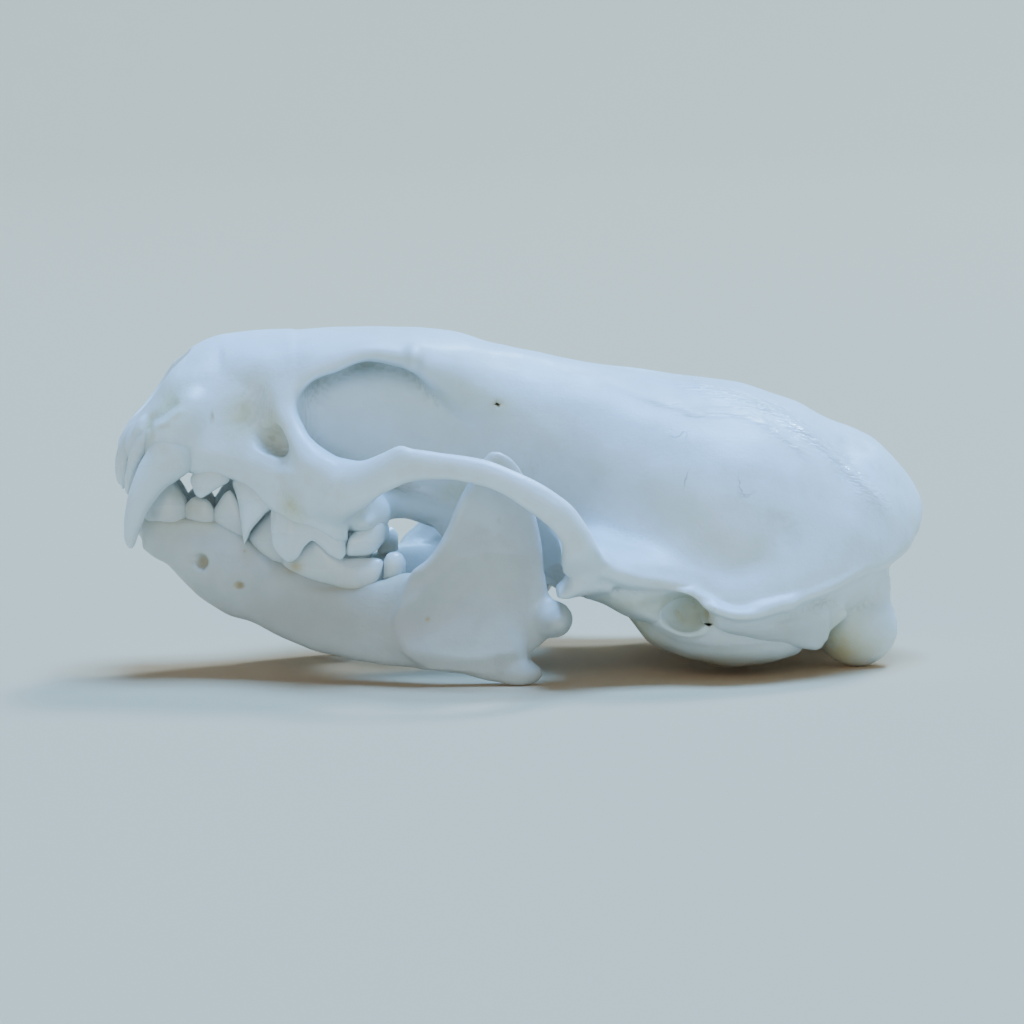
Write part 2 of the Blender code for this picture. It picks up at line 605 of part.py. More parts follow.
def build_mandible(side):
    """Build one half of the lower jaw with its teeth."""
    parts = [
        plate_body("ramus", JAW_RAMUS, side),
        edge_body("carnassial", LOWER_CARNASSIAL, side, count=8),
        ball("joint", JAW_JOINT, side),
        ball("angle", JAW_ANGLE, side),
        spike("canine", LOWER_CANINE, side, count=10),
    ]
    parts += [crown("lower_tooth", size, side) for size in LOWER_CHEEK_TEETH]
    for out in LOWER_INCISORS:
        rows = [(level, x, out, half_x, half_y) for level, x, half_x, half_y in LOWER_INCISOR]
        parts.append(spike("incisor", rows, side, count=6))
    body = combine(edge_body("mandible", JAW_BODY, side, power=2.3, count=14), parts, "UNION")
    near, out = sorted((side * GAP / 2, -side * 9.0))
    cutters = [
        ball("masseteric_fossa", MASSETERIC_FOSSA, side, tilt=-12.0),
        box("midline", (-40.0, near, -5.0), (40.0, out, 40.0)),
        box("table", (-40.0, -40.0, -5.0), (40.0, 40.0, 0.0)),
    ]
    return keep_largest(combine(body, cutters, "DIFFERENCE"))


def main():
    """Build every node."""
    for made in list(bpy.data.objects):
        bpy.data.objects.remove(made, do_unlink=True)
    bpy.context.scene.collection.children.link(bpy.data.collections.new("mink_skull"))
    far = 60.0
    half = GAP / 2
    whole = build_cranium()
    for side, word in ((-1, "left"), (1, "right")):
        for label in ("jugal", "squamosal_process"):
            piece = duplicate(whole, label)
            combine(piece, [arch_block(label, side, half)], "INTERSECT")
            finish(keep_largest(piece), f"{label}_{word}", BONE)
    blocks = [arch_block(label, side, -half) for side in (-1, 1) for label in ("jugal", "squamosal_process")]
    blocks.append(box("table", (-far, -far, -5.0), (far, far, 0.0)))
    combine(whole, blocks, "DIFFERENCE")
    regions = (
        ("rostrum", -far, CUT_ROSTRUM - half),
        ("orbital_region", CUT_ROSTRUM + half, CUT_ORBIT - half),
        ("braincase", CUT_ORBIT + half, CUT_OCCIPUT - half),
        ("occipital_region", CUT_OCCIPUT + half, far),
    )
    for label, start, end in regions:
        piece = duplicate(whole, label)
        combine(piece, [box("block", (start, -far, -far), (end, far, far))], "INTERSECT")
        finish(keep_largest(piece), label, BONE)
    discard(whole)
    for side, word in ((-1, "left"), (1, "right")):
        finish(build_bulla(side), f"auditory_bulla_{word}", BONE)
        finish(build_mandible(side), f"mandible_{word}", BONE_JAW)


main()
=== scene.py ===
"""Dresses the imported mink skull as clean, dry bone with glossy teeth.

The nose points towards -X, the animal's left side towards -Y, and the table is z = 0.
Shapes are worked out in millimetres and turned into metres when a mesh is made. Because
the two sides are alike, forms are given with `out`, the distance from the midline.
"""

import logging
import math
from dataclasses import dataclass, field, fields
from enum import Enum
from typing import Protocol

import bpy
import numpy as np
from mathutils import Matrix, Vector


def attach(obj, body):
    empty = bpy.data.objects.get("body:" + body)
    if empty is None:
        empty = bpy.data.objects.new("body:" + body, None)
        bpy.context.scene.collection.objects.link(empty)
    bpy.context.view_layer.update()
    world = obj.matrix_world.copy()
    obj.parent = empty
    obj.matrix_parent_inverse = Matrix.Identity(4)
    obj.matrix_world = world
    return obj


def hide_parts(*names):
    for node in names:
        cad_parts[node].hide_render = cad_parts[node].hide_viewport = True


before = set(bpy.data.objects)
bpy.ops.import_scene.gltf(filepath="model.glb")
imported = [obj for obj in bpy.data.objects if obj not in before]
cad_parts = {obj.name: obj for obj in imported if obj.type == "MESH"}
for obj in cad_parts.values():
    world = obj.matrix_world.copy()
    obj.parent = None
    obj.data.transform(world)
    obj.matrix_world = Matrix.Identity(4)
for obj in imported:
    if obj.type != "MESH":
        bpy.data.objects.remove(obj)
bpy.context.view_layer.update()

MM = 0.001
PIECE_LIMIT = 190000
GAP = 0.3
FLOOR_CLEARANCE = 0.01
EMPTY = 4.0
LEAST_HALF = 0.05
TINY = 1e-9
FAR_OFF = 1e9
CORNERS = tuple((i, j, k) for i in (0, 1) for j in (0, 1) for k in (0, 1))
Array = np.ndarray
Piece = bpy.types.Object
Material = bpy.types.Material
Socket = bpy.types.NodeSocket
log = logging.getLogger("mink_skull")


class Side(Enum):
    """The side of the animal that a piece belongs to, as the sign of Y."""

    LEFT = -1
    RIGHT = 1


def through(rows: tuple, at: Array) -> Array:
    """Smooth curve through the rows of a table, read at values of its first column.

    Each span is a cubic whose end slopes are the mean slopes of its neighbours.

    Args:
        rows: table whose first column grows.
        at: where to read the other columns.

    Returns:
        One row of the other columns for each value.
    """
    table = np.asarray(rows, dtype=float)
    x, y = table[:, 0], table[:, 1:]
    slope = np.gradient(y, x, axis=0)
    at = np.clip(at, x[0], x[-1])
    k = np.clip(np.searchsorted(x, at) - 1, 0, len(x) - 2)
    h = (x[k + 1] - x[k])[:, None]
    t = (at - x[k])[:, None] / h
    first = (2 * t**3 - 3 * t**2 + 1) * y[k] + (t**3 - 2 * t**2 + t) * h * slope[k]
    return first + (3 * t**2 - 2 * t**3) * y[k + 1] + (t**3 - t**2) * h * slope[k + 1]


def along(rows: tuple, per_span: int) -> Array:
    """Table with rows added between by a smooth curve through its own rows.

    Args:
        rows: table of any columns, in order along a path.
        per_span: rows for each span of the path.

    Returns:
        The denser table.
    """
    table = np.asarray(rows, dtype=float)
    count = len(table)
    numbered = np.column_stack((np.arange(count), table))
    return through(numbered, np.linspace(0, count - 1, (count - 1) * per_span + 1))


def smooth_min(a: Array, b: Array, blend: float) -> Array:
    """Smaller of two fields, with the corner between them rounded over a distance."""
    if blend <= 0:
        return np.minimum(a, b)
    h = np.maximum(blend - np.abs(a - b), 0.0) / blend
    return np.minimum(a, b) - h * h * blend * 0.25


def rounded_box(u: Array, v: Array, power: Array, width: Array, height: Array) -> Array:
    """First-order distance to the outline |u|^p + |v|^p = 1.

    The outline's radius value less one is divided by the length of its gradient.

    Args:
        u: sideways place over half width.
        v: upward place over half height.
        power: roundness, 2 for an oval and more for a box.
        width: half width.
        height: half height.

    Returns:
        Distance, negative inside.
    """
    u = np.maximum(np.abs(u), 1e-3)
    v = np.maximum(np.abs(v), 1e-3)
    up, vp = u ** (power - 1), v ** (power - 1)
    radius = (u * up + v * vp) ** (1 / power)
    grade = radius ** (1 - power) * np.hypot(up / width, vp / height)
    return (radius - 1) / grade


class Form(Protocol):
    """Body that a field is joined with or cut by."""

    def reach(self) -> tuple[Array, Array]:
        """Lowest and highest corner of the body."""

    def distance(self, x: Array, y: Array, z: Array) -> Array:
        """Distance field of the body on open grids of x, out and z, negative inside."""


@dataclass
class Loft:
    """Body of rounded-box sections across X.

    Rows are x, top, bottom, [out,] half width, level of greatest width, upper and lower
    power; a row without `out` lies on the midline.
    """

    rows: tuple

    def reach(self) -> tuple[Array, Array]:
        """Lowest and highest corner of the body."""
        t = self.table()
        low = (t[0, 0], (t[:, 3] - t[:, 4]).min(), t[:, 2].min())
        high = (t[-1, 0], (t[:, 3] + t[:, 4]).max(), t[:, 1].max())
        return np.array(low), np.array(high)

    def table(self) -> Array:
        """The rows, with a zero `out` where they have none."""
        t = np.asarray(self.rows, dtype=float)
        return t if t.shape[1] == 8 else np.insert(t, 3, 0.0, axis=1)

    def distance(self, x: Array, y: Array, z: Array) -> Array:
        """Distance field of the body on open grids of x, out and z."""
        t = self.table()
        rows = through(t, x.ravel()).astype(np.float32)
        top, low, out, half, wide, up, down = (c.reshape(-1, 1, 1) for c in rows.T)
        rise = z - wide
        above = rise >= 0
        height = np.maximum(np.where(above, top - wide, wide - low), LEAST_HALF)
        power = np.where(above, up, down)
        half = np.maximum(half, LEAST_HALF)
        d = rounded_box((y - out) / half, rise / height, power, half, height)
        return np.maximum(d, np.maximum(t[0, 0] - x, x - t[-1, 0]))


@dataclass
class Plate:
    """Upright body of level sections: rows are level, front x, rear x, out, half thickness."""

    rows: tuple
    power: float = 3.0

    def reach(self) -> tuple[Array, Array]:
        """Lowest and highest corner of the body."""
        t = np.asarray(self.rows, dtype=float)
        low = (t[:, 1].min(), (t[:, 3] - t[:, 4]).min(), t[0, 0])
        high = (t[:, 2].max(), (t[:, 3] + t[:, 4]).max(), t[-1, 0])
        return np.array(low), np.array(high)

    def distance(self, x: Array, y: Array, z: Array) -> Array:
        """Distance field of the body on open grids of x, out and z."""
        t = np.asarray(self.rows, dtype=float)
        rows = through(t, z.ravel()).astype(np.float32)
        front, rear, out, half = (c.reshape(1, 1, -1) for c in rows.T)
        length = (rear - front) / 2
        u = (x - (front + rear) / 2) / length
        d = rounded_box(u, (y - out) / half, np.float32(self.power), length, half)
        return np.maximum(d, np.maximum(t[0, 0] - z, z - t[-1, 0]))


@dataclass
class Bar:
    """Bar swept between an upper and a lower edge given in side view.

    Rows are upper edge x and z, lower edge x and z, out, half thickness. A section is a
    rounded box whose height is the line between the two edges.
    """

    rows: tuple
    power: float = 2.4
    per_span: int = 10

    def reach(self) -> tuple[Array, Array]:
        """Lowest and highest corner of the bar."""
        t = np.asarray(self.rows, dtype=float)
        low = (t[:, (0, 2)].min(), (t[:, 4] - t[:, 5]).min(), t[:, (1, 3)].min())
        high = (t[:, (0, 2)].max(), (t[:, 4] + t[:, 5]).max(), t[:, (1, 3)].max())
        return np.array(low), np.array(high)

    def section_at(self, x: Array, z: Array) -> list[Array]:
        """Where places of the side view lie on the bar.

        A place lies between two rows if it is ahead of the first row's edge line and behind
        the second's. Its row number is shared out by those two distances. Past both ends,
        the nearer end row is taken.

        Args:
            x: places along the skull.
            z: their levels.

        Returns:
            For each place: how far up the section it is, the half height, out, the half
            thickness, and how far it is past an end.
        """
        rows = along(self.rows, self.per_span)
        middle = (rows[:, 0:2] + rows[:, 2:4]) / 2
        edge = (rows[:, 0:2] - rows[:, 2:4]) / 2
        tall = np.maximum(np.linalg.norm(edge, axis=1), LEAST_HALF)
        way = edge / tall[:, None]
        ahead = np.column_stack((way[:, 1], -way[:, 0]))
        if (np.diff(middle, axis=0) * ahead[:-1]).sum() < 0:
            ahead = -ahead
        place = np.stack(np.broadcast_arrays(x, z), axis=-1).reshape(-1, 2)
        best = np.full(len(place), FAR_OFF)
        found = np.tile((0.0, 1.0, 1.0, 1.0, 9.0), (len(place), 1))
        table = np.column_stack((tall, rows[:, 4], rows[:, 5]))
        before = (place - middle[0]) @ ahead[0]
        rise = (place - middle[0]) @ way[0]
        for k in range(len(rows)):
            if k:
                after = (place - middle[k]) @ ahead[k]
                next_rise = (place - middle[k]) @ way[k]
                s = np.clip(before / np.maximum(before - after, TINY), 0, 1)
                held = (before >= 0) & (after <= 0)
                here = rise + s * (next_rise - rise)
                sizes = table[k - 1] + s[:, None] * (table[k] - table[k - 1])
                off = np.abs(here) - sizes[:, 0]
                use = held & (off < best)
                best[use] = off[use]
                found[use] = np.column_stack((here, sizes, np.zeros(len(place))))[use]
                before, rise = after, next_rise
            if k in (0, len(rows) - 1):
                past = -before if k == 0 else before
                off = np.hypot(np.maximum(past, 0), np.maximum(np.abs(rise) - tall[k], 0))
                use = (past > 0) & (off < best)
                best[use] = off[use]
                end = np.column_stack((rise, np.tile(table[k], (len(place), 1)), past))
                found[use] = end[use]
        shape = np.broadcast_shapes(x.shape, z.shape)
        return [column.reshape(shape).astype(np.float32) for column in found.T]

    def distance(self, x: Array, y: Array, z: Array) -> Array:
        """Distance field of the bar on open grids of x, out and z."""
        rise, tall, out, half, past = self.section_at(x, z)
        d = rounded_box((y - out) / half, rise / tall, np.float32(self.power), half, tall)
        return np.where(past > 0, np.hypot(np.maximum(d, 0), past) + np.minimum(d, 0), d)


@dataclass(frozen=True)
class Ball:
    """Ellipsoid: centre, radii, tilt about Y and turn about Z in degrees."""

    centre: tuple
    radii: tuple
    tilt: float = 0.0
    turn: float = 0.0

    def axes(self) -> Array:
        """Unit axes of the ellipsoid, one a row."""
        a, b = math.radians(self.tilt), math.radians(self.turn)
        tilt = ((math.cos(a), 0, -math.sin(a)), (0, 1, 0), (math.sin(a), 0, math.cos(a)))
        turn = ((math.cos(b), math.sin(b), 0), (-math.sin(b), math.cos(b), 0), (0, 0, 1))
        return np.array(tilt) @ np.array(turn)

    def reach(self) -> tuple[Array, Array]:
        """Lowest and highest corner of the ellipsoid."""
        size = np.sqrt(((self.axes() * np.array(self.radii)[:, None]) ** 2).sum(0))
        return np.array(self.centre) - size, np.array(self.centre) + size

    def distance(self, x: Array, y: Array, z: Array) -> Array:
        """First-order distance: radius value less one, over the length of its gradient."""
        px, py, pz = (g - c for g, c in zip((x, y, z), self.centre))
        total, grade = 0.0, 0.0
        for axis, size in zip(self.axes(), self.radii):
            q = (px * axis[0] + py * axis[1] + pz * axis[2]) / size
            total = total + q * q
            grade = grade + (q / size) ** 2
        radius = np.sqrt(np.maximum(total, 1e-6))
        return ((radius - 1) * radius / np.sqrt(np.maximum(grade, 1e-6))).astype(np.float32)


@dataclass
class Field:
    """Solid worked out on a box grid: values are distances, negative inside.

    Forms are joined by the rounded minimum of their distances and cut by the rounded
    maximum, so that bone flows from one form into the next.
    """

    low: tuple
    high: tuple
    step: float
    lines: list = field(init=False)
    values: Array = field(init=False)

    def __post_init__(self) -> None:
        """Start with an empty grid."""
        ends = zip(self.low, self.high)
        self.lines = [np.arange(a, b + self.step / 2, self.step, dtype=np.float32) for a, b in ends]
        self.values = np.full([len(line) for line in self.lines], EMPTY, dtype=np.float32)

    def part(self, form: Form, margin: float) -> tuple[tuple, Array]:
        """Slices of the grid round a form, and the form's distances there."""
        low, high = form.reach()
        cut, grids = [], []
        for n, line in enumerate(self.lines):
            start = max(int(np.searchsorted(line, low[n] - margin)), 0)
            stop = min(int(np.searchsorted(line, high[n] + margin)), len(line))
            cut.append(slice(start, stop))
            shape = [1, 1, 1]
            shape[n] = stop - start
            grids.append(line[start:stop].reshape(shape))
        return tuple(cut), form.distance(*grids).astype(np.float32)

    def join(self, form: Form, blend: float) -> None:
        """Add a form, with its junction rounded over the blend distance."""
        cut, d = self.part(form, blend + 4 * self.step)
        self.values[cut] = smooth_min(self.values[cut], d, blend)

    def cut(self, form: Form, blend: float) -> None:
        """Take a form away, with its rim rounded over the blend distance."""
        cut, d = self.part(form, blend + 4 * self.step)
        self.values[cut] = -smooth_min(-self.values[cut], d, blend)

    def trim(self, axis: int, level: float) -> None:
        """Cut everything below a level of one axis away, flat."""
        shape = [1, 1, 1]
        shape[axis] = -1
        self.values = np.maximum(self.values, level - self.lines[axis].reshape(shape))

    def mirrored(self) -> "Field":
        """Field of both sides, from one that starts on the midline."""
        whole = Field((self.low[0], -self.high[1], self.low[2]), self.high, self.step)
        whole.values = np.concatenate((self.values[:, :0:-1], self.values), axis=1)
        many = whole.values.shape[1]
        whole.lines[1] = (np.arange(many, dtype=np.float32) - (many - 1) / 2) * self.step
        return whole

    def crowding(self, reach: float) -> Array:
        """Share of solid in a box of the given reach round every point of the grid."""
        share = (self.values < 0).astype(np.float32)
        r = max(int(round(reach / self.step)), 1)
        for axis in range(3):
            pad = [(0, 0)] * 3
            pad[axis] = (r + 1, r)
            total = np.cumsum(np.pad(share, pad, mode="edge"), axis=axis, dtype=np.float32)
            count = share.shape[axis]
            upper = np.take(total, np.arange(2 * r + 1, 2 * r + 1 + count), axis=axis)
            lower = np.take(total, np.arange(count), axis=axis)
            share = (upper - lower) / (2 * r + 1)
        return share

    def sample(self, values: Array, points: Array) -> Array:
        """Values of the grid at points, from the nearest grid point."""
        spot = []
        for n, line in enumerate(self.lines):
            index = np.rint((points[:, n] - line[0]) / self.step).astype(int)
            spot.append(np.clip(index, 0, len(line) - 1))
        return values[tuple(spot)]

    def surface(self) -> tuple[Array, Array]:
        """Zero level of the field.

        Each grid cell that the level passes through gets one point, the mean of its
        crossings with the cell's edges. Each grid edge that it crosses gets one face,
        between the four cells round that edge.

        Returns:
            Points in millimetres, and faces of four points, facing outwards.
        """
        inside = self.values < 0
        shape = np.array(inside.shape) - 1
        count = np.zeros(shape, dtype=np.int8)
        for i, j, k in CORNERS:
            count += inside[i:i + shape[0], j:j + shape[1], k:k + shape[2]]
        cells = np.argwhere((count > 0) & (count < len(CORNERS)))
        number = np.full(shape, -1, dtype=np.int32)
        number[tuple(cells.T)] = np.arange(len(cells))
        start = np.array([line[0] for line in self.lines])
        return start + self.step * (cells + self.mean_crossing(cells)), edge_faces(inside, number)

    def mean_crossing(self, cells: Array) -> Array:
        """Mean place within each cell of the zero level's crossings with the cell's edges."""
        value = {c: self.values[tuple((cells + c).T)] for c in CORNERS}
        total = np.zeros((len(cells), 3))
        crossings = np.zeros((len(cells), 1))
        for a in CORNERS:
            for axis in (n for n in range(3) if not a[n]):
                b = tuple(v + (n == axis) for n, v in enumerate(a))
                crossed = ((value[a] < 0) != (value[b] < 0))[:, None]
                gap = np.where(crossed[:, 0], value[a] - value[b], 1.0)
                place = np.tile(np.array(a, dtype=float), (len(cells), 1))
                place[:, axis] += value[a] / gap
                total += place * crossed
                crossings += crossed
        return total / crossings


def edge_faces(inside: Array, number: Array) -> Array:
    """One face round each grid edge that goes into or out of the solid.

    Args:
        inside: whether each grid point lies in the solid.
        number: the point number of each grid cell.

    Returns:
        Faces of four points, facing outwards.
    """
    faces = []
    for axis in range(3):
        near = [slice(1, -1)] * 3
        far = [slice(1, -1)] * 3
        near[axis], far[axis] = slice(0, -1), slice(1, None)
        first, second = inside[tuple(near)], inside[tuple(far)]
        where = np.argwhere(first != second)
        leaves = first[tuple(where.T)]
        where = where + [0 if n == axis else 1 for n in range(3)]
        u, v = [n for n in range(3) if n != axis]
        quad = []
        for du, dv in ((1, 1), (0, 1), (0, 0), (1, 0)):
            cell = where.copy()
            cell[:, u] -= du
            cell[:, v] -= dv
            quad.append(number[tuple(cell.T)])
        quad = np.stack(quad, axis=1)
        turned = leaves if axis != 1 else ~leaves
        faces.append(np.where(turned[:, None], quad, quad[:, ::-1]))
    return np.concatenate(faces)


@dataclass
class Skin:
    """Points and faces of a piece while it is worked on, in millimetres."""

    points: Array
    faces: Array

    def normals(self) -> Array:
        """Unit normal at each point, from the faces round it."""
        p = self.points[self.faces]
        across = np.cross(p[:, 2] - p[:, 0], p[:, 3 if p.shape[1] == 4 else 2] - p[:, 1])
        total = np.zeros_like(self.points)
        for n in range(3):
            shares = np.repeat(across[:, n], self.faces.shape[1])
            total[:, n] = np.bincount(self.faces.ravel(), shares, len(self.points))
        return total / np.maximum(np.linalg.norm(total, axis=1, keepdims=True), 1e-12)

    def relax(self, rounds: int, to_mean: float = 0.5, back: float = 0.52) -> None:
        """Even out the points: each moves towards the mean of its neighbours, and then back."""
        a = self.faces.ravel()
        b = np.roll(self.faces, -1, axis=1).ravel()
        start, end = np.concatenate((a, b)), np.concatenate((b, a))
        many = len(self.points)
        degree = np.bincount(start, minlength=many)[:, None]
        for k in range(2 * rounds):
            total = [np.bincount(start, self.points[end, n], many) for n in range(3)]
            mean = np.stack(total, axis=1) / degree
            self.points = self.points + (to_mean, -back)[k % 2] * (mean - self.points)

    def raise_by(self, height: Array) -> None:
        """Move every point outwards by a height."""
        self.points = self.points + self.normals() * height[:, None]


def from_midline(points: Array) -> Array:
    """Points with their distance from the midline in place of y."""
    return np.column_stack((points[:, 0], np.abs(points[:, 1]), points[:, 2]))


def near_path(points: Array, path: tuple, per_span: int = 6) -> tuple[Array, Array]:
    """Distance of points from a smooth line, and how far along it they lie.

    Args:
        points: places, with as many columns as the path.
        path: places that the line goes through.
        per_span: straight steps between two of them.

    Returns:
        Distance, and the share of the whole length at the nearest place.
    """
    line = along(path, per_span)
    sizes = np.linalg.norm(np.diff(line, axis=0), axis=1)
    before = np.concatenate(([0.0], np.cumsum(sizes)))
    best = np.full(len(points), FAR_OFF)
    share = np.zeros(len(points))
    for k, size in enumerate(sizes):
        step = (line[k + 1] - line[k]) / size
        s = np.clip((points - line[k]) @ step, 0, size)
        d = np.linalg.norm(points - line[k] - s[:, None] * step, axis=1)
        closer = d < best
        best[closer] = d[closer]
        share[closer] = (before[k] + s[closer]) / before[-1]
    return best, share


def wander(points: Array, wave: float, seed: int, terms: int = 9) -> Array:
    """Gentle unevenness between about -1 and 1: a sum of plane waves with seeded directions."""
    draw = np.random.default_rng(seed)
    total = np.zeros(len(points))
    for _ in range(terms):
        way = draw.normal(size=3)
        way *= 2 * math.pi / (wave * draw.uniform(0.7, 1.5)) / np.linalg.norm(way)
        total += np.sin(points @ way + draw.uniform(0, 2 * math.pi))
    return total / math.sqrt(terms)


@dataclass
class Ridge:
    """Raised or sunk line in side view, within a range of distances from the midline."""

    height: float
    width: float
    path: tuple
    least_out: float = 0.0
    most_out: float = 30.0
    fade: float = 8.0
    left_at_ends: float = 0.15

    def lift(self, points: Array) -> Array:
        """Height over the surface: a bell across the line that fades at its ends."""
        out = np.abs(points[:, 1])
        lift = np.zeros(len(points))
        path = np.asarray(self.path)
        low, high = path.min(0) - 3 * self.width, path.max(0) + 3 * self.width
        flat = points[:, (0, 2)]
        near = (out >= self.least_out) & (out <= self.most_out)
        near &= (flat > low).all(1) & (flat < high).all(1)
        if near.any():
            d, share = near_path(flat[near], self.path)
            fade = np.clip(np.minimum(share, 1 - share) * self.fade + self.left_at_ends, 0, 1)
            lift[near] = self.height * np.exp(-((d / self.width) ** 2)) * fade
        return lift


@dataclass
class Dent:
    """Rounded dent, or swelling if the height is positive: height, centre and radii."""

    height: float
    centre: tuple
    radii: tuple

    def lift(self, points: Array) -> Array:
        """Height over the surface: a bell in all three directions."""
        d = ((from_midline(points) - self.centre) / self.radii) ** 2
        return self.height * np.exp(-d.sum(1))


def make_piece(name: str, points: Array, faces: Array) -> Piece:
    """Make a smooth mesh object from points in millimetres.

    Args:
        name: the piece's name.
        points: points in millimetres.
        faces: point numbers, all faces with as many corners.

    Returns:
        The object, in the scene.
    """
    mesh = bpy.data.meshes.new(name)
    many, corners = faces.shape
    mesh.vertices.add(len(points))
    mesh.vertices.foreach_set("co", (points * MM).astype(np.float32).ravel())
    mesh.loops.add(many * corners)
    mesh.loops.foreach_set("vertex_index", faces.astype(np.int32).ravel())
    mesh.polygons.add(many)
    mesh.polygons.foreach_set("loop_start", np.arange(many, dtype=np.int32) * corners)
    mesh.update(calc_edges=True)
    mesh.validate()
    mesh.shade_smooth()
    made = bpy.data.objects.new(name, mesh)
    bpy.context.scene.collection.objects.link(made)
    return made


def thin_out(made: Piece, limit: int) -> None:
    """Merge the flattest faces until the piece has fewer triangles than the limit."""
    mesh = made.data
    mesh.calc_loop_triangles()
    many = len(mesh.loop_triangles)
    if many <= limit:
        return
    step = made.modifiers.new("thin", "DECIMATE")
    step.ratio = limit / many
    shown = made.evaluated_get(bpy.context.evaluated_depsgraph_get())
    thinned = bpy.data.meshes.new_from_object(shown)
    thinned.name = mesh.name
    made.modifiers.clear()
    made.data = thinned
    bpy.data.meshes.remove(mesh)
    thinned.shade_smooth()


def points_of(made: Piece) -> Array:
    """Points of a piece in millimetres."""
    points = np.zeros(len(made.data.vertices) * 3, dtype=np.float32)
    made.data.vertices.foreach_get("co", points)
    return points.reshape(-1, 3) / MM


def write_mask(made: Piece, name: str, values: Array) -> None:
    """Store one number for each point of a piece, for its material to read."""
    layer = made.data.attributes.new(name, "FLOAT", "POINT")
    layer.data.foreach_set("value", np.clip(values, 0, 1).astype(np.float32))


@dataclass(frozen=True)
class Patch:
    """Patch of colour: centre with its distance out, radii, strength, and how crisp its edge is."""

    centre: tuple
    radii: tuple
    strength: float = 1.0
    crisp: float = 1.0


def patched(points: Array, patches: tuple) -> Array:
    """Strongest of the patches at each point, each exp(-d^(2 crisp)) of its distance in radii."""
    out = from_midline(points)
    total = np.zeros(len(points))
    for patch in patches:
        d = (((out - patch.centre) / patch.radii) ** 2).sum(1)
        total = np.maximum(total, patch.strength * np.exp(-(d**patch.crisp)))
    return total


class Nodes:
    """Short way to place and join the nodes of one material or group."""

    def __init__(self, tree: bpy.types.NodeTree) -> None:
        """Work in the given tree."""
        self.tree = tree

    def feed(self, socket: Socket, value: object) -> None:
        """Join another node's socket to this one, or set a constant on it."""
        if isinstance(value, Socket):
            self.tree.links.new(value, socket)
        else:
            socket.default_value = value

    def add(self, kind: str, inputs: dict | None = None, **settings: object) -> bpy.types.Node:
        """Add a node.

        Args:
            kind: the node's type name.
            inputs: constants and other nodes' sockets, by socket name or number.
            settings: the node's own settings.

        Returns:
            The node.
        """
        node = self.tree.nodes.new(kind)
        for name, value in settings.items():
            setattr(node, name, value)
        for name, value in (inputs or {}).items():
            self.feed(node.inputs[name], value)
        return node

    def math(self, operation: str, a: object, b: object) -> Socket:
        """Sum, product or the like of two values."""
        return self.add("ShaderNodeMath", {0: a, 1: b}, operation=operation).outputs[0]

    def mix(self, share: object, a: object, b: object) -> Socket:
        """Colour between two colours."""
        return self.add("ShaderNodeMix", {0: share, 6: a, 7: b}, data_type="RGBA").outputs[2]

    def noise(self, place: Socket, scale: float, detail: float, rough: float = 0.5) -> Socket:
        """Cloudy value about 0.5."""
        inputs = {"Vector": place, "Scale": scale, "Detail": detail, "Roughness": rough}
        return self.add("ShaderNodeTexNoise", inputs).outputs[0]

    def spread(self, value: Socket, low: float, high: float, start: float = 0.0, end: float = 1.0) -> Socket:
        """Value carried smoothly from one range to another, and held at its ends."""
        inputs = {"Value": value, "From Min": low, "From Max": high, "To Min": start, "To Max": end}
        return self.add("ShaderNodeMapRange", inputs, interpolation_type="SMOOTHSTEP").outputs[0]

    def group(self, tree: bpy.types.NodeTree, **inputs: object) -> Socket:
        """Result of a shared group."""
        return self.add("ShaderNodeGroup", inputs, node_tree=tree).outputs[0]

    def mask(self, name: str) -> Socket:
        """Value stored on the points of the piece."""
        return self.add("ShaderNodeAttribute", attribute_name=name).outputs["Fac"]

    def millimetres(self) -> Socket:
        """Object coordinates in millimetres."""
        place = self.add("ShaderNodeTexCoord").outputs["Object"]
        inputs = {0: place, "Scale": 1 / MM}
        return self.add("ShaderNodeVectorMath", inputs, operation="SCALE").outputs[0]


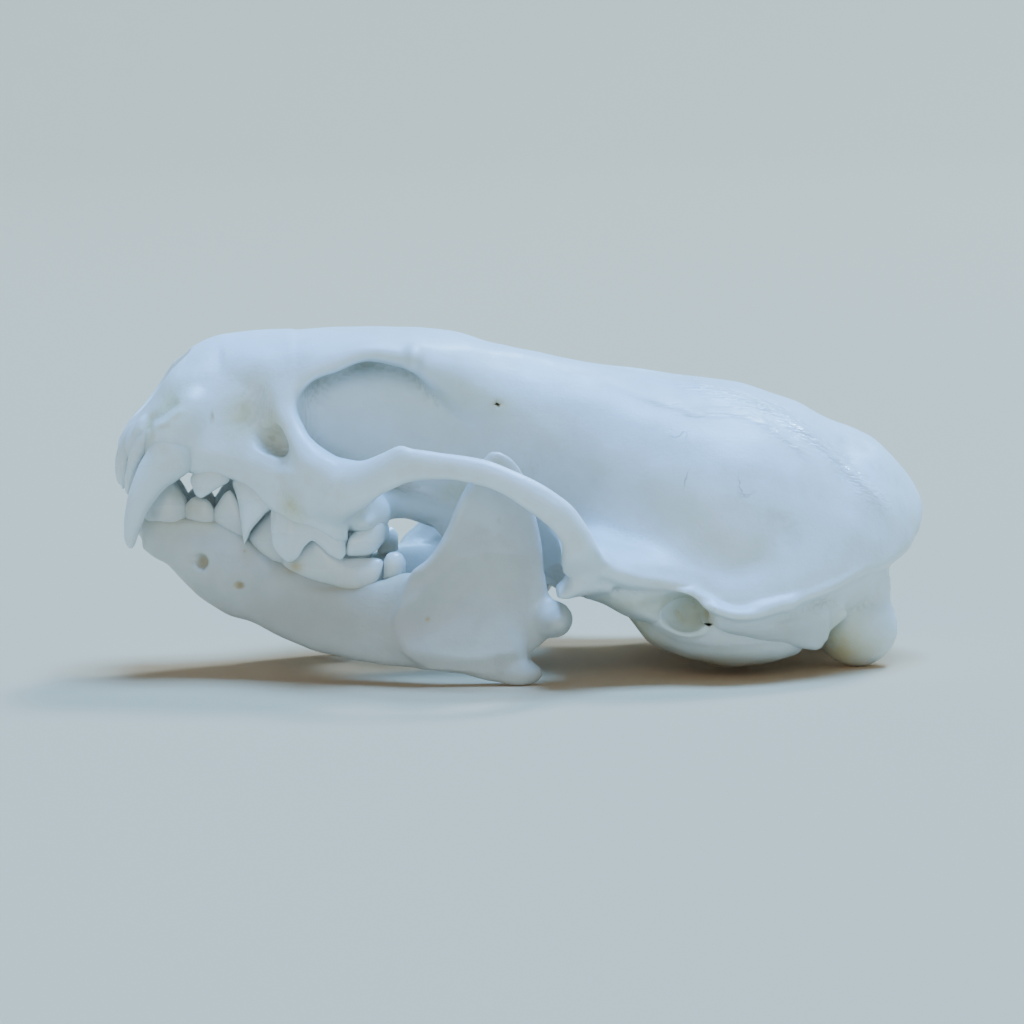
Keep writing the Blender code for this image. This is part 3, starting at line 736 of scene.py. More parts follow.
class Grain:
    """Effects that the bone finishes and the teeth share, as node groups."""

    def __init__(self) -> None:
        """Build the groups once."""
        self.mottle = self.build_mottle()
        self.pores = self.build_pores()

    @staticmethod
    def start(name: str, inputs: tuple, output: str) -> tuple[Nodes, bpy.types.NodeOutputs, Socket]:
        """Start a group that is given a place and some numbers.

        Args:
            name: the group's name.
            inputs: names of the numbers.
            output: name of its result.

        Returns:
            Its nodes, the sockets of what it is given, and the socket for its result.
        """
        tree = bpy.data.node_groups.new(name, "ShaderNodeTree")
        tree.interface.new_socket("Place", in_out="INPUT", socket_type="NodeSocketVector")
        for label in inputs:
            tree.interface.new_socket(label, in_out="INPUT", socket_type="NodeSocketFloat")
        tree.interface.new_socket(output, in_out="OUTPUT", socket_type="NodeSocketFloat")
        nodes = Nodes(tree)
        return nodes, nodes.add("NodeGroupInput").outputs, nodes.add("NodeGroupOutput").inputs[0]

    def build_mottle(self) -> bpy.types.NodeTree:
        """Cloudy patches: broad clouds with finer ones over them, as a mask from 0 to 1."""
        nodes, given, result = self.start("bone mottle", ("Size",), "Mask")
        sized = {0: given["Place"], 1: given["Size"]}
        place = nodes.add("ShaderNodeVectorMath", sized, operation="DIVIDE").outputs[0]
        broad = nodes.noise(place, scale=1.0, detail=3.0, rough=0.55)
        fine = nodes.noise(place, scale=4.3, detail=2.0, rough=0.6)
        both = nodes.math("ADD", nodes.math("MULTIPLY", broad, 0.72), nodes.math("MULTIPLY", fine, 0.28))
        nodes.feed(result, nodes.spread(both, low=0.32, high=0.68))
        return nodes.tree

    def build_pores(self) -> bpy.types.NodeTree:
        """Height of the bone's skin: fine grain, faint streaks along the skull, and pin holes."""
        nodes, given, result = self.start("bone pores", ("Holes", "Streaks"), "Height")
        place = given["Place"]
        grain = nodes.noise(place, scale=2.6, detail=3.0, rough=0.62)
        stretch = {"Vector": place, "Scale": (0.22, 1.5, 1.5)}
        stretched = nodes.add("ShaderNodeMapping", stretch).outputs[0]
        streaks = nodes.noise(stretched, scale=1.9, detail=2.0, rough=0.6)
        cells = nodes.add("ShaderNodeTexVoronoi", {"Vector": place, "Scale": 1.15}).outputs["Distance"]
        holes = nodes.spread(cells, low=0.05, high=0.16, start=1.0, end=0.0)
        sparse = nodes.spread(nodes.noise(place, scale=0.35, detail=1.0), low=0.50, high=0.62)
        raised = nodes.math("MULTIPLY", streaks, given["Streaks"])
        sunk = nodes.math("MULTIPLY", nodes.math("MULTIPLY", holes, sparse), given["Holes"])
        nodes.feed(result, nodes.math("SUBTRACT", nodes.math("ADD", grain, raised), sunk))
        return nodes.tree


@dataclass(frozen=True)
class Finish:
    """What all finishes have: gloss, fine relief, and a soft glow from light under the surface."""

    name: str
    roughness: float = 0.40
    refraction: float = 1.5
    relief: float = 0.25
    relief_depth: float = 0.1
    glow: float = 0.3
    glow_colour: tuple = (1.0, 0.85, 0.6)
    glow_depth: float = 1.2

    def start(self) -> tuple[Material, Nodes, Socket]:
        """Make the material, with its nodes and the place in millimetres."""
        made = bpy.data.materials.new(self.name)
        made.use_nodes = True
        nodes = Nodes(made.node_tree)
        return made, nodes, nodes.millimetres()

    def close(self, nodes: Nodes, colour: Socket, gloss: Socket, height: Socket) -> None:
        """Join colour, roughness and height to the shader, and set its constants."""
        shader = nodes.tree.nodes["Principled BSDF"]
        shader.subsurface_method = "BURLEY"
        shader.inputs["IOR"].default_value = self.refraction
        shader.inputs["Subsurface Weight"].default_value = self.glow
        shader.inputs["Subsurface Radius"].default_value = self.glow_colour
        shader.inputs["Subsurface Scale"].default_value = self.glow_depth * MM
        relief = {"Height": height, "Strength": self.relief, "Distance": self.relief_depth * MM}
        nodes.feed(shader.inputs["Base Color"], colour)
        nodes.feed(shader.inputs["Roughness"], gloss)
        nodes.feed(shader.inputs["Normal"], nodes.add("ShaderNodeBump", relief).outputs[0])


@dataclass(frozen=True)
class BoneFinish(Finish):
    """Clean, dry, slightly greasy bone: cool white, warmer where thin, with painted shade in recesses and on
    undersides.
    """

    pale: tuple = (0.745, 0.84, 0.915, 1.0)
    second: tuple = (0.69, 0.755, 0.765, 1.0)
    # Yellow of thin bone, also used as painted warm shade.
    warm: tuple = (0.66, 0.63, 0.38, 1.0)
    # Dark brown of the painted shade.
    sheltered: tuple = (0.29, 0.255, 0.17, 1.0)
    line: tuple = (0.24, 0.26, 0.28, 1.0)
    # Brown of stains, also used as painted shade in the ear openings and small holes.
    stain: tuple = (0.48, 0.32, 0.10, 1.0)
    pink: tuple = (0.58, 0.51, 0.51, 1.0)
    cloud_size: float = 7.0
    speck_size: float = 1.6
    streaks: float = 0.5
    holes: float = 0.5
    flake_height: float = 24.0
    cracked: bool = True

    def cracks(self, nodes: Nodes, place: Socket) -> Socket:
        """Thin wavering lines between cells of about 2.4 mm, where the crack mask asks for them."""
        bent = nodes.add("ShaderNodeTexNoise", {"Vector": place, "Scale": 0.8, "Detail": 1.0})
        sway = {0: bent.outputs["Color"], 1: (2.2, 2.2, 2.2), 2: place}
        shift = nodes.add("ShaderNodeVectorMath", sway, operation="MULTIPLY_ADD")
        given = {"Scale": 0.42, "Vector": shift.outputs[0]}
        cells = nodes.add("ShaderNodeTexVoronoi", given, feature="DISTANCE_TO_EDGE")
        line = nodes.spread(cells.outputs["Distance"], low=0.0, high=0.045, start=0.85, end=0.0)
        return nodes.math("MULTIPLY", line, nodes.mask("crack"))

    def flakes(self, nodes: Nodes, place: Socket) -> Socket:
        """Height of coarse slanting flakes, where the rough mask asks for them."""
        slant = {"Vector": place, "Rotation": (0.0, -0.5, 0.0), "Scale": (0.35, 1.6, 1.6)}
        slanted = nodes.add("ShaderNodeMapping", slant).outputs[0]
        cloud = nodes.noise(slanted, scale=1.5, detail=2.0, rough=0.6)
        return nodes.math("MULTIPLY", nodes.math("MULTIPLY", cloud, nodes.mask("rough")), self.flake_height)

    def material(self, grain: Grain) -> Material:
        """Make the material, which reads the masks that BoneMasks writes.

        Args:
            grain: the shared groups.

        Returns:
            The material.
        """
        made, nodes, place = self.start()
        cloud = nodes.group(grain.mottle, Place=place, Size=self.cloud_size)
        speck = nodes.group(grain.mottle, Place=place, Size=self.speck_size)
        colour = nodes.mix(cloud, self.pale, self.second)
        # The warm tint is partly the bone's own yellowing and partly painted warm shade on undersides and in
        # the ear openings.
        for mask, least, tint in (("warm", 0.65, self.warm), ("pink", 0.5, self.pink)):
            share = nodes.math("MULTIPLY", nodes.mask(mask), nodes.spread(speck, 0.0, 1.0, start=least))
            colour = nodes.mix(share, colour, tint)
        # Painted shade: a dark brown mixed in where solid crowds round a point and under the shade patches.
        colour = nodes.mix(nodes.mask("hollow"), colour, self.sheltered)
        # Real stains, plus painted shade in the ear openings and in small holes.
        colour = nodes.mix(nodes.mask("stain"), colour, self.stain)
        if self.cracked:
            colour = nodes.mix(self.cracks(nodes, place), colour, self.line)
        gloss = nodes.math("ADD", nodes.math("MULTIPLY", cloud, 0.10), self.roughness - 0.05)
        for mask, change in (("hollow", 0.15), ("rough", -0.18)):
            gloss = nodes.math("ADD", gloss, nodes.math("MULTIPLY", nodes.mask(mask), change))
        pores = nodes.group(grain.pores, Place=place, Holes=self.holes, Streaks=self.streaks)
        self.close(nodes, colour, gloss, nodes.math("ADD", pores, self.flakes(nodes, place)))
        return made


@dataclass(frozen=True)
class EnamelFinish(Finish):
    """Tooth enamel: glossy and bluish white towards the tip, creamier at the neck."""

    roughness: float = 0.24
    refraction: float = 1.6
    relief: float = 0.10
    relief_depth: float = 0.05
    tip: tuple = (0.71, 0.79, 0.83, 1.0)
    neck: tuple = (0.68, 0.69, 0.63, 1.0)
    groove: tuple = (0.50, 0.36, 0.12, 1.0)
    speck_size: float = 1.2
    streaks: float = 0.6

    def material(self, grain: Grain) -> Material:
        """Make the material, which reads the tooth's neck and groove masks.

        Args:
            grain: the shared groups.

        Returns:
            The material.
        """
        made, nodes, place = self.start()
        speck = nodes.group(grain.mottle, Place=place, Size=self.speck_size)
        neck = nodes.math("MULTIPLY", nodes.mask("neck"), nodes.spread(speck, 0.0, 1.0, start=0.6))
        colour = nodes.mix(neck, self.tip, self.neck)
        colour = nodes.mix(nodes.mask("groove"), colour, self.groove)
        gloss = nodes.math("ADD", nodes.math("MULTIPLY", neck, 0.18), self.roughness)
        pores = nodes.group(grain.pores, Place=place, Holes=0.0, Streaks=self.streaks)
        self.close(nodes, colour, gloss, pores)
        return made


class Slot(Enum):
    """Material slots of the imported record."""

    BONE = "bone"
    JAW = "jaw_bone"


def settle(piece: Piece, material: Material) -> None:
    """Give a piece its material and its body, and report it."""
    piece.data.materials.clear()
    piece.data.materials.append(material)
    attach(piece, "root")
    piece.data.calc_loop_triangles()
    log.info("%s: %d triangles", piece.name, len(piece.data.loop_triangles))


@dataclass(frozen=True)
class BoneMasks:
    """What the bone material reads on every point: patches of colour, painted shade, and rough lines.

    The painted shade rises with the share of solid round a point, from `open_near` and
    `open_wide` upwards, and the shade patches add more of it.
    """

    warm: tuple = ()
    pink: tuple = ()
    stain: tuple = ()
    crack: tuple = ()
    shade: tuple = ()
    rough: tuple = ()
    open_near: float = 0.56
    open_wide: float = 0.58
    rise: float = 0.3
    strength: float = 0.55

    def write(self, piece: Piece, near: Array, wide: Array) -> None:
        """Store the masks.

        Args:
            piece: the bone.
            near: share of solid close to each point.
            wide: share of solid further round.
        """
        points = points_of(piece)
        # Painted shade: darker where much solid crowds round a point, deepened by the shade patches.
        painted_shade_share = np.clip((near - self.open_near) / self.rise, 0, 1) * self.strength
        painted_shade_share += np.clip((wide - self.open_wide) / self.rise, 0, 1) * self.strength
        write_mask(piece, "hollow", np.maximum(painted_shade_share, patched(points, self.shade)))
        write_mask(piece, "rough", sum((ridge.lift(points) for ridge in self.rough), np.zeros(len(points))))
        for name in ("warm", "pink", "stain", "crack"):
            write_mask(piece, name, patched(points, getattr(self, name)))


def sculpt(solid: Field, joins: tuple, cuts: tuple) -> None:
    """Join and then cut a list of forms, each given with its blend distance."""
    for form, blend in joins:
        solid.join(form, blend)
    for form, blend in cuts:
        solid.cut(form, blend)


def relief(skin: Skin, marks: tuple) -> None:
    """Raise or sink the surface by the sum of its ridges and dents."""
    skin.raise_by(sum((mark.lift(skin.points) for mark in marks), np.zeros(len(skin.points))))


def skinned(solid: Field, rounds: int, marks: tuple) -> Skin:
    """Surface of a field, evened out, with its marks laid on it.

    Args:
        solid: the field.
        rounds: how often the points are evened out.
        marks: ridges and dents.

    Returns:
        The surface.
    """
    skin = Skin(*solid.surface())
    skin.relax(rounds)
    relief(skin, marks)
    return skin


def on_side(name: str, skin: Skin, side: Side) -> Piece:
    """Piece on its own side: the left is the right one mirrored, with its faces turned."""
    faces = skin.faces if side is Side.RIGHT else skin.faces[:, ::-1]
    return make_piece(f"{name}_{side.name.lower()}", skin.points * (1, side.value, 1), faces)


def paired_bone(
    name: str, solid: Field, skin: Skin, side: Side, masks: BoneMasks, reaches: tuple = (0.7, 1.8)
) -> Piece:
    """Make a paired bone on its own side, with its masks.

    Args:
        name: the piece's name without its side.
        solid: field of the right side, for the painted shade.
        skin: surface of the right side.
        side: the side wanted.
        masks: what the material reads.
        reaches: how far round a point solid is counted for the painted shade.

    Returns:
        The piece.
    """
    piece = on_side(name, skin, side)
    thin_out(piece, PIECE_LIMIT)
    right = points_of(piece) * (1, side.value, 1)
    # Share of solid round each point, which sets the painted shade.
    near, wide = (solid.sample(solid.crowding(reach), right) for reach in reaches)
    masks.write(piece, near, wide)
    return piece


@dataclass
class Cranium:
    """The fused bones of the skull without the ear capsules, worked out as one solid.

    It branches into cheek arches and has holes right through it, which no grid of two
    parameters can cover. So its forms are distance fields that flow into each other, and
    the surface is where the joined field is zero.
    """

    step: float = 0.2
    ripple: float = 0.035
    swell: float = 0.05
    # How far round a point solid is counted for the painted shade.
    shelter_reaches: tuple = (0.9, 2.6)
    rostrum: tuple = (
        (-33.15, 19.3, 18.0, 1.8, 18.6, 2.0, 2.0),
        (-32.5, 20.5, 17.75, 3.3, 18.9, 2.0, 2.4),
        (-31.2, 22.4, 17.5, 4.7, 19.35, 2.0, 2.6),
        (-30.2, 23.95, 17.4, 5.6, 19.75, 2.0, 2.8),
        (-29.0, 25.8, 17.3, 6.3, 20.05, 2.0, 3.0),
        (-27.3, 26.8, 17.1, 6.6, 20.15, 1.95, 3.0),
        (-25.8, 27.55, 16.9, 6.5, 20.1, 1.9, 3.0),
        (-24.7, 27.9, 16.6, 6.4, 20.0, 1.9, 3.0),
        (-22.7, 28.1, 16.05, 6.6, 20.15, 2.0, 3.0),
        (-20.7, 28.2, 15.35, 7.2, 20.3, 2.1, 3.0),
        (-19.2, 28.1, 15.25, 7.5, 21.3, 2.4, 3.0),
        (-18.6, 28.0, 15.4, 7.4, 21.8, 2.6, 3.0),
        (-18.1, 27.5, 16.2, 6.2, 22.2, 2.4, 3.0),
        (-16.8, 26.0, 17.0, 4.6, 22.0, 2.3, 2.4),
    )
    frontal: tuple = (
        (-24.2, 27.5, 23.0, 4.6, 24.9, 2.2, 2.0),
        (-21.2, 28.0, 22.0, 6.3, 24.15, 2.2, 2.0),
        (-18.8, 28.1, 22.1, 7.4, 23.5, 2.3, 2.6),
        (-17.4, 28.15, 23.9, 7.7, 24.8, 2.3, 3.0),
        (-15.2, 28.2, 24.9, 7.7, 25.7, 2.3, 3.0),
        (-12.8, 28.25, 25.8, 7.7, 26.5, 2.3, 3.0),
        (-10.4, 28.25, 25.4, 7.8, 26.3, 2.3, 3.0),
        (-8.8, 28.2, 24.7, 7.8, 25.9, 2.3, 2.8),
        (-7.4, 28.1, 22.9, 7.3, 25.2, 2.2, 2.5),
        (-5.4, 27.8, 20.2, 6.7, 24.4, 2.1, 2.2),
        (-2.7, 26.95, 17.8, 6.15, 22.85, 2.0, 2.2),
        (0.0, 25.9, 15.3, 5.7, 20.9, 2.0, 2.0),
        (2.6, 23.6, 15.3, 4.8, 19.6, 2.0, 2.0),
    )
    septum: tuple = (
        (-22.1, 24.8, 16.6, 5.6, 19.7, 2.4, 2.4),
        (-18.1, 25.6, 14.6, 5.3, 20.8, 2.4, 2.4),
        (-14.1, 26.05, 13.2, 4.9, 21.9, 2.4, 2.4),
        (-10.2, 26.15, 12.9, 4.7, 22.0, 2.4, 2.4),
        (-6.1, 25.65, 11.3, 4.9, 21.1, 2.4, 2.4),
        (-2.1, 24.9, 9.1, 5.1, 20.2, 2.4, 2.4),
        (2.0, 23.8, 7.0, 5.6, 17.9, 2.3, 2.3),
        (6.1, 21.9, 6.0, 6.4, 15.0, 2.2, 2.2),
    )
    palate: tuple = (
        (-31.0, 19.25, 17.65, 4.0, 18.6, 3.0, 3.0),
        (-28.5, 19.9, 17.2, 6.1, 18.65, 3.0, 3.4),
        (-26.0, 19.95, 16.8, 6.3, 18.5, 3.0, 3.6),
        (-23.5, 19.55, 16.1, 6.9, 17.85, 3.0, 3.6),
        (-21.5, 19.25, 15.1, 7.8, 17.4, 3.0, 3.6),
        (-19.4, 18.75, 13.95, 9.2, 16.6, 3.0, 2.8),
        (-17.4, 18.1, 13.2, 10.2, 15.9, 3.0, 2.4),
        (-15.4, 17.5, 12.55, 10.5, 15.3, 3.0, 2.3),
        (-13.5, 16.75, 12.25, 9.9, 14.8, 2.8, 2.3),
        (-11.9, 15.9, 12.3, 8.3, 14.5, 2.4, 2.4),
        (-10.3, 15.65, 12.6, 6.0, 14.1, 2.2, 2.6),
        (-7.9, 15.65, 12.0, 4.6, 13.6, 2.2, 2.6),
        (-5.5, 15.3, 10.95, 4.3, 13.0, 2.2, 2.6),
    )
    braincase: tuple = (
        (-5.2, 25.6, 11.4, 4.4, 22.0, 2.0, 2.2),
        (-3.4, 26.6, 9.9, 5.5, 22.0, 2.0, 2.2),
        (-2.0, 26.6, 9.0, 5.85, 21.35, 2.0, 2.2),
        (0.4, 26.2, 7.3, 6.2, 20.05, 2.0, 2.3),
        (3.8, 25.45, 5.9, 7.7, 17.7, 2.0, 2.6),
        (7.2, 24.75, 5.3, 10.2, 15.4, 2.0, 2.6),
        (11.4, 24.1, 5.3, 12.8, 13.55, 2.05, 2.4),
        (15.6, 23.6, 4.5, 14.0, 12.2, 2.1, 2.4),
        (19.0, 22.95, 3.8, 14.0, 11.0, 2.1, 2.4),
        (21.5, 22.1, 3.3, 13.4, 10.25, 2.1, 2.4),
        (24.0, 21.0, 2.95, 12.3, 9.8, 2.1, 2.4),
        (26.4, 19.2, 2.65, 10.4, 9.75, 2.1, 2.2),
        (28.1, 17.9, 2.8, 8.9, 10.1, 2.1, 2.0),
        (29.4, 16.0, 3.85, 7.2, 10.8, 2.1, 2.0),
    )
    nuchal: tuple = (
        (12.8, 11.6, 7.6, 11.6, 8.2, 1.6, 3.0),
        (15.2, 12.8, 6.2, 13.9, 6.9, 1.6, 3.0),
        (17.5, 15.2, 5.25, 15.1, 6.3, 1.7, 3.0),
        (19.9, 18.85, 5.4, 15.0, 6.5, 1.8, 3.0),
        (22.1, 20.1, 5.8, 14.2, 7.0, 1.9, 3.0),
        (24.4, 20.25, 6.45, 13.0, 7.7, 2.0, 3.0),
        (26.4, 19.75, 7.15, 11.7, 8.55, 2.0, 3.0),
        (28.1, 19.15, 7.75, 10.4, 9.05, 2.1, 3.0),
        (29.7, 18.3, 8.15, 9.0, 9.55, 2.1, 3.0),
        (30.8, 17.15, 8.75, 7.4, 10.2, 2.1, 3.0),
        (31.7, 16.0, 9.3, 5.9, 10.75, 2.1, 3.0),
        (32.4, 15.05, 10.05, 4.3, 11.4, 2.1, 3.0),
        (33.1, 13.9, 11.1, 2.6, 12.2, 2.1, 2.6),
        (33.45, 13.1, 12.05, 0.9, 12.6, 2.0, 2.0),
    )
    skirt: tuple = (
        (2.6, 11.6, 9.2, 13.9, 10.4, 1.8, 3.0),
        (3.8, 12.4, 8.6, 15.6, 10.2, 1.9, 3.0),
        (5.4, 12.9, 8.0, 16.5, 9.9, 2.0, 3.0),
        (7.0, 13.1, 7.5, 16.2, 9.2, 2.0, 3.0),
        (9.0, 13.3, 7.1, 15.7, 8.6, 2.0, 3.0),
        (12.0, 13.7, 6.7, 15.2, 7.9, 2.0, 3.0),
        (14.0, 13.7, 6.0, 15.0, 7.1, 1.9, 3.0),
        (16.0, 13.3, 5.35, 14.8, 6.6, 1.8, 3.0),
        (18.0, 12.6, 5.9, 13.8, 7.0, 1.8, 3.0),
        (20.0, 12.0, 6.6, 12.2, 7.6, 2.0, 3.0),
    )
    base: tuple = (
        (4.4, 9.0, 6.7, 10.0, 2.4, 7.9, 2.0, 2.0),
        (6.0, 9.0, 6.15, 10.0, 3.3, 7.6, 2.0, 2.0),
        (7.8, 9.0, 5.2, 10.2, 3.9, 7.3, 2.0, 2.2),
        (10.0, 9.0, 4.5, 10.6, 4.0, 7.0, 2.0, 2.2),
        (12.0, 9.0, 4.3, 11.0, 3.8, 6.8, 2.0, 2.2),
        (14.0, 9.0, 4.4, 11.2, 3.4, 6.6, 2.0, 2.2),
        (15.6, 9.0, 5.0, 11.2, 2.6, 6.6, 2.0, 2.0),
    )
    mastoid_wall: tuple = (
        (14.9, 7.4, 15.1, 4.3, 13.3, 1.3),
        (17.0, 7.0, 17.0, 3.6, 12.9, 1.7),
        (20.0, 7.0, 20.0, 2.9, 12.1, 1.8),
        (22.3, 7.4, 22.2, 2.3, 11.0, 1.8),
        (23.9, 7.6, 23.7, 2.1, 10.2, 1.3),
        (25.2, 8.0, 24.6, 3.4, 9.3, 0.8),
    )
    glenoid_wall: tuple = (
        (2.2, 7.9, 7.15, 12.9, 2.6, 7.5, 2.2, 2.2),
        (2.8, 8.5, 7.1, 13.0, 3.2, 7.7, 2.4, 2.4),
        (3.6, 9.9, 7.25, 13.0, 3.6, 8.3, 2.6, 2.4),
        (4.8, 9.9, 7.4, 12.6, 3.6, 8.45, 2.4, 2.4),
        (6.4, 9.4, 7.3, 12.0, 3.2, 8.2, 2.2, 2.2),
    )
    cheek_root: tuple = (
        (-20.0, 18.2, 15.6, 7.2, 0.9, 16.8, 2.2, 2.2),
        (-19.2, 18.85, 14.65, 8.3, 1.4, 16.6, 2.2, 2.2),
        (-18.1, 19.5, 13.95, 9.2, 2.0, 16.5, 2.2, 2.2),
        (-16.7, 19.0, 13.35, 9.8, 2.5, 16.0, 2.4, 1.8),
        (-15.1, 18.2, 13.1, 10.3, 3.0, 15.7, 2.4, 1.8),
        (-13.7, 17.9, 14.3, 11.0, 3.0, 16.0, 2.4, 2.0),
        (-12.7, 17.5, 15.1, 11.8, 2.4, 16.3, 2.2, 2.2),
    )
    rim_bar: tuple = (
        (-17.6, 25.2, -20.2, 24.9, 5.2, 1.0),
        (-18.35, 24.2, -20.4, 23.7, 6.15, 1.05),
        (-18.6, 23.2, -20.4, 22.6, 6.7, 1.1),
        (-18.5, 22.2, -20.2, 21.5, 7.3, 1.15),
        (-18.1, 21.2, -19.7, 20.4, 7.95, 1.25),
        (-17.45, 20.1, -18.95, 19.1, 9.0, 1.4),
        (-16.6, 19.15, -17.9, 17.8, 10.2, 1.5),
        (-15.6, 18.55, -16.7, 16.3, 11.1, 1.6),
        (-14.75, 18.2, -16.2, 15.5, 11.7, 1.7),
    )
    alveolus: tuple = (
        (-27.9, 20.0, 17.5, 4.9, 1.0, 18.2, 2.0, 3.0),
        (-26.8, 20.6, 17.0, 5.1, 1.2, 17.9, 2.0, 4.0),
        (-25.2, 20.8, 16.75, 5.3, 1.2, 17.7, 2.0, 4.0),
        (-24.0, 20.8, 16.6, 5.55, 1.2, 17.5, 2.0, 4.0),
        (-23.0, 20.6, 16.1, 5.9, 1.3, 17.2, 2.0, 4.0),
        (-22.0, 20.2, 15.2, 6.4, 1.35, 16.6, 2.0, 4.0),
        (-21.0, 19.7, 14.3, 7.0, 1.4, 15.8, 2.0, 4.0),
        (-20.1, 18.9, 13.5, 7.4, 1.45, 15.0, 2.0, 4.0),
        (-19.2, 17.2, 12.9, 7.8, 1.5, 14.4, 2.0, 4.0),
        (-18.2, 17.0, 12.5, 8.2, 1.5, 14.1, 2.0, 4.0),
        (-17.2, 17.0, 12.4, 8.6, 1.5, 14.0, 2.0, 4.0),
        (-16.2, 17.0, 11.9, 8.9, 1.5, 13.7, 2.0, 4.0),
        (-15.4, 16.5, 11.5, 9.1, 1.4, 13.3, 2.0, 3.6),
        (-14.6, 16.0, 11.5, 9.1, 1.1, 13.1, 2.0, 2.6),
    )
    arch: tuple = (
        (-15.55, 17.85, -16.25, 14.35, 10.9, 1.5),
        (-14.55, 18.25, -14.85, 14.3, 12.2, 1.5),
        (-13.15, 18.5, -13.25, 15.0, 13.5, 1.35),
        (-11.95, 19.05, -12.05, 15.85, 14.5, 1.15),
        (-10.45, 19.8, -10.45, 16.7, 15.5, 1.0),
        (-9.35, 19.55, -9.25, 17.05, 16.0, 0.9),
        (-7.95, 19.4, -7.95, 17.15, 16.5, 0.85),
        (-5.8, 19.15, -5.95, 17.05, 17.2, 0.85),
        (-3.6, 18.75, -4.05, 16.7, 17.8, 0.85),
        (-1.7, 18.0, -2.5, 16.1, 18.2, 0.9),
        (0.15, 17.1, -1.0, 15.15, 18.45, 0.95),
        (1.8, 16.05, 0.45, 14.1, 18.45, 1.0),
        (3.2, 14.95, 1.5, 13.1, 18.3, 1.05),
        (4.25, 13.4, 2.2, 11.95, 17.9, 1.2),
        (5.2, 11.55, 2.35, 10.55, 17.0, 1.6),
        (5.95, 10.3, 2.55, 9.4, 15.6, 1.8),
    )
    pterygoid: tuple = (
        (-6.5, 13.5, -6.65, 11.1, 3.6, 0.6),
        (-2.85, 11.7, -2.95, 8.95, 3.4, 0.45),
        (0.7, 9.75, 0.6, 7.5, 3.2, 0.4),
        (3.05, 8.4, 2.9, 6.75, 3.1, 0.35),
        (4.7, 7.2, 4.9, 6.4, 3.1, 0.3),
    )
    swellings: tuple = (
        (Ball((-28.1, 5.35, 20.9), (1.8, 1.85, 3.2), tilt=36), 0.7),
        (Ball((-28.7, 5.45, 19.5), (1.75, 1.7, 1.6), tilt=-25), 0.5),
        (Ball((-31.0, 4.2, 20.4), (0.8, 0.85, 1.3), tilt=20), 0.5),
        (Ball((-8.9, 7.3, 26.2), (0.7, 1.35, 1.0)), 0.6),
        (Ball((-19.1, 8.4, 16.9), (0.95, 0.95, 0.8)), 0.4),
        (Ball((-12.7, 8.5, 13.8), (1.7, 1.5, 1.7)), 1.2),
        (Ball((27.35, 5.6, 3.2), (3.4, 2.7, 3.2)), 0.5),
        (Ball((28.35, 5.3, 6.7), (1.7, 1.8, 2.2)), 0.9),
        (Ball((-13.2, 7.9, 13.2), (1.3, 2.6, 1.0)), 0.5),
        (Ball((-19.2, 6.4, 15.2), (1.0, 1.2, 1.2)), 0.5),
    )
    hollows: tuple = (
        (Ball((-29.9, 0.0, 24.4), (5.0, 3.1, 3.5), tilt=47), 0.5),
        (Ball((30.0, 0.0, 6.6), (6.5, 4.2, 3.2), tilt=10), 0.5),
        (Ball((-2.0, 0.0, 8.7), (7.5, 2.4, 2.4), tilt=18), 0.6),
        (Ball((-19.4, 7.5, 19.6), (3.3, 0.85, 1.15), tilt=14), 0.4),
        (Ball((-2.1, 5.6, 22.2), (0.35, 1.2, 0.2), tilt=20), 0.15),
        (Ball((12.0, 14.6, 5.75), (1.95, 3.6, 1.75), turn=28), 0.25),
        (Ball((10.6, 15.9, 6.1), (2.8, 2.4, 1.3), turn=14), 0.6),
    )
    lower_temporal_line: tuple = (
        (3.0, 25.3), (3.9, 24.4), (6.4, 24.0), (7.9, 23.4), (9.8, 22.6), (12.5, 22.0), (13.6, 21.5),
        (15.6, 21.6), (17.5, 21.3), (18.8, 20.9), (20.1, 20.1), (21.4, 19.1), (23.0, 17.6),
    )
    upper_temporal_line: tuple = (
        (6.5, 24.4), (9.8, 24.2), (12.4, 23.6), (14.7, 23.2), (17.2, 22.5), (19.2, 21.9), (20.8, 21.3),
        (22.0, 20.3), (23.6, 19.2), (24.9, 18.0), (26.2, 16.7), (27.5, 15.4), (28.8, 14.0),
    )
    ear_ledge: tuple = (
        (5.4, 10.5), (6.6, 9.8), (8.7, 8.9), (12.0, 8.2), (14.0, 7.3), (15.2, 6.1), (17.2, 5.9),
        (19.4, 6.3), (21.6, 6.8), (25.0, 7.8), (27.6, 9.0),
    )
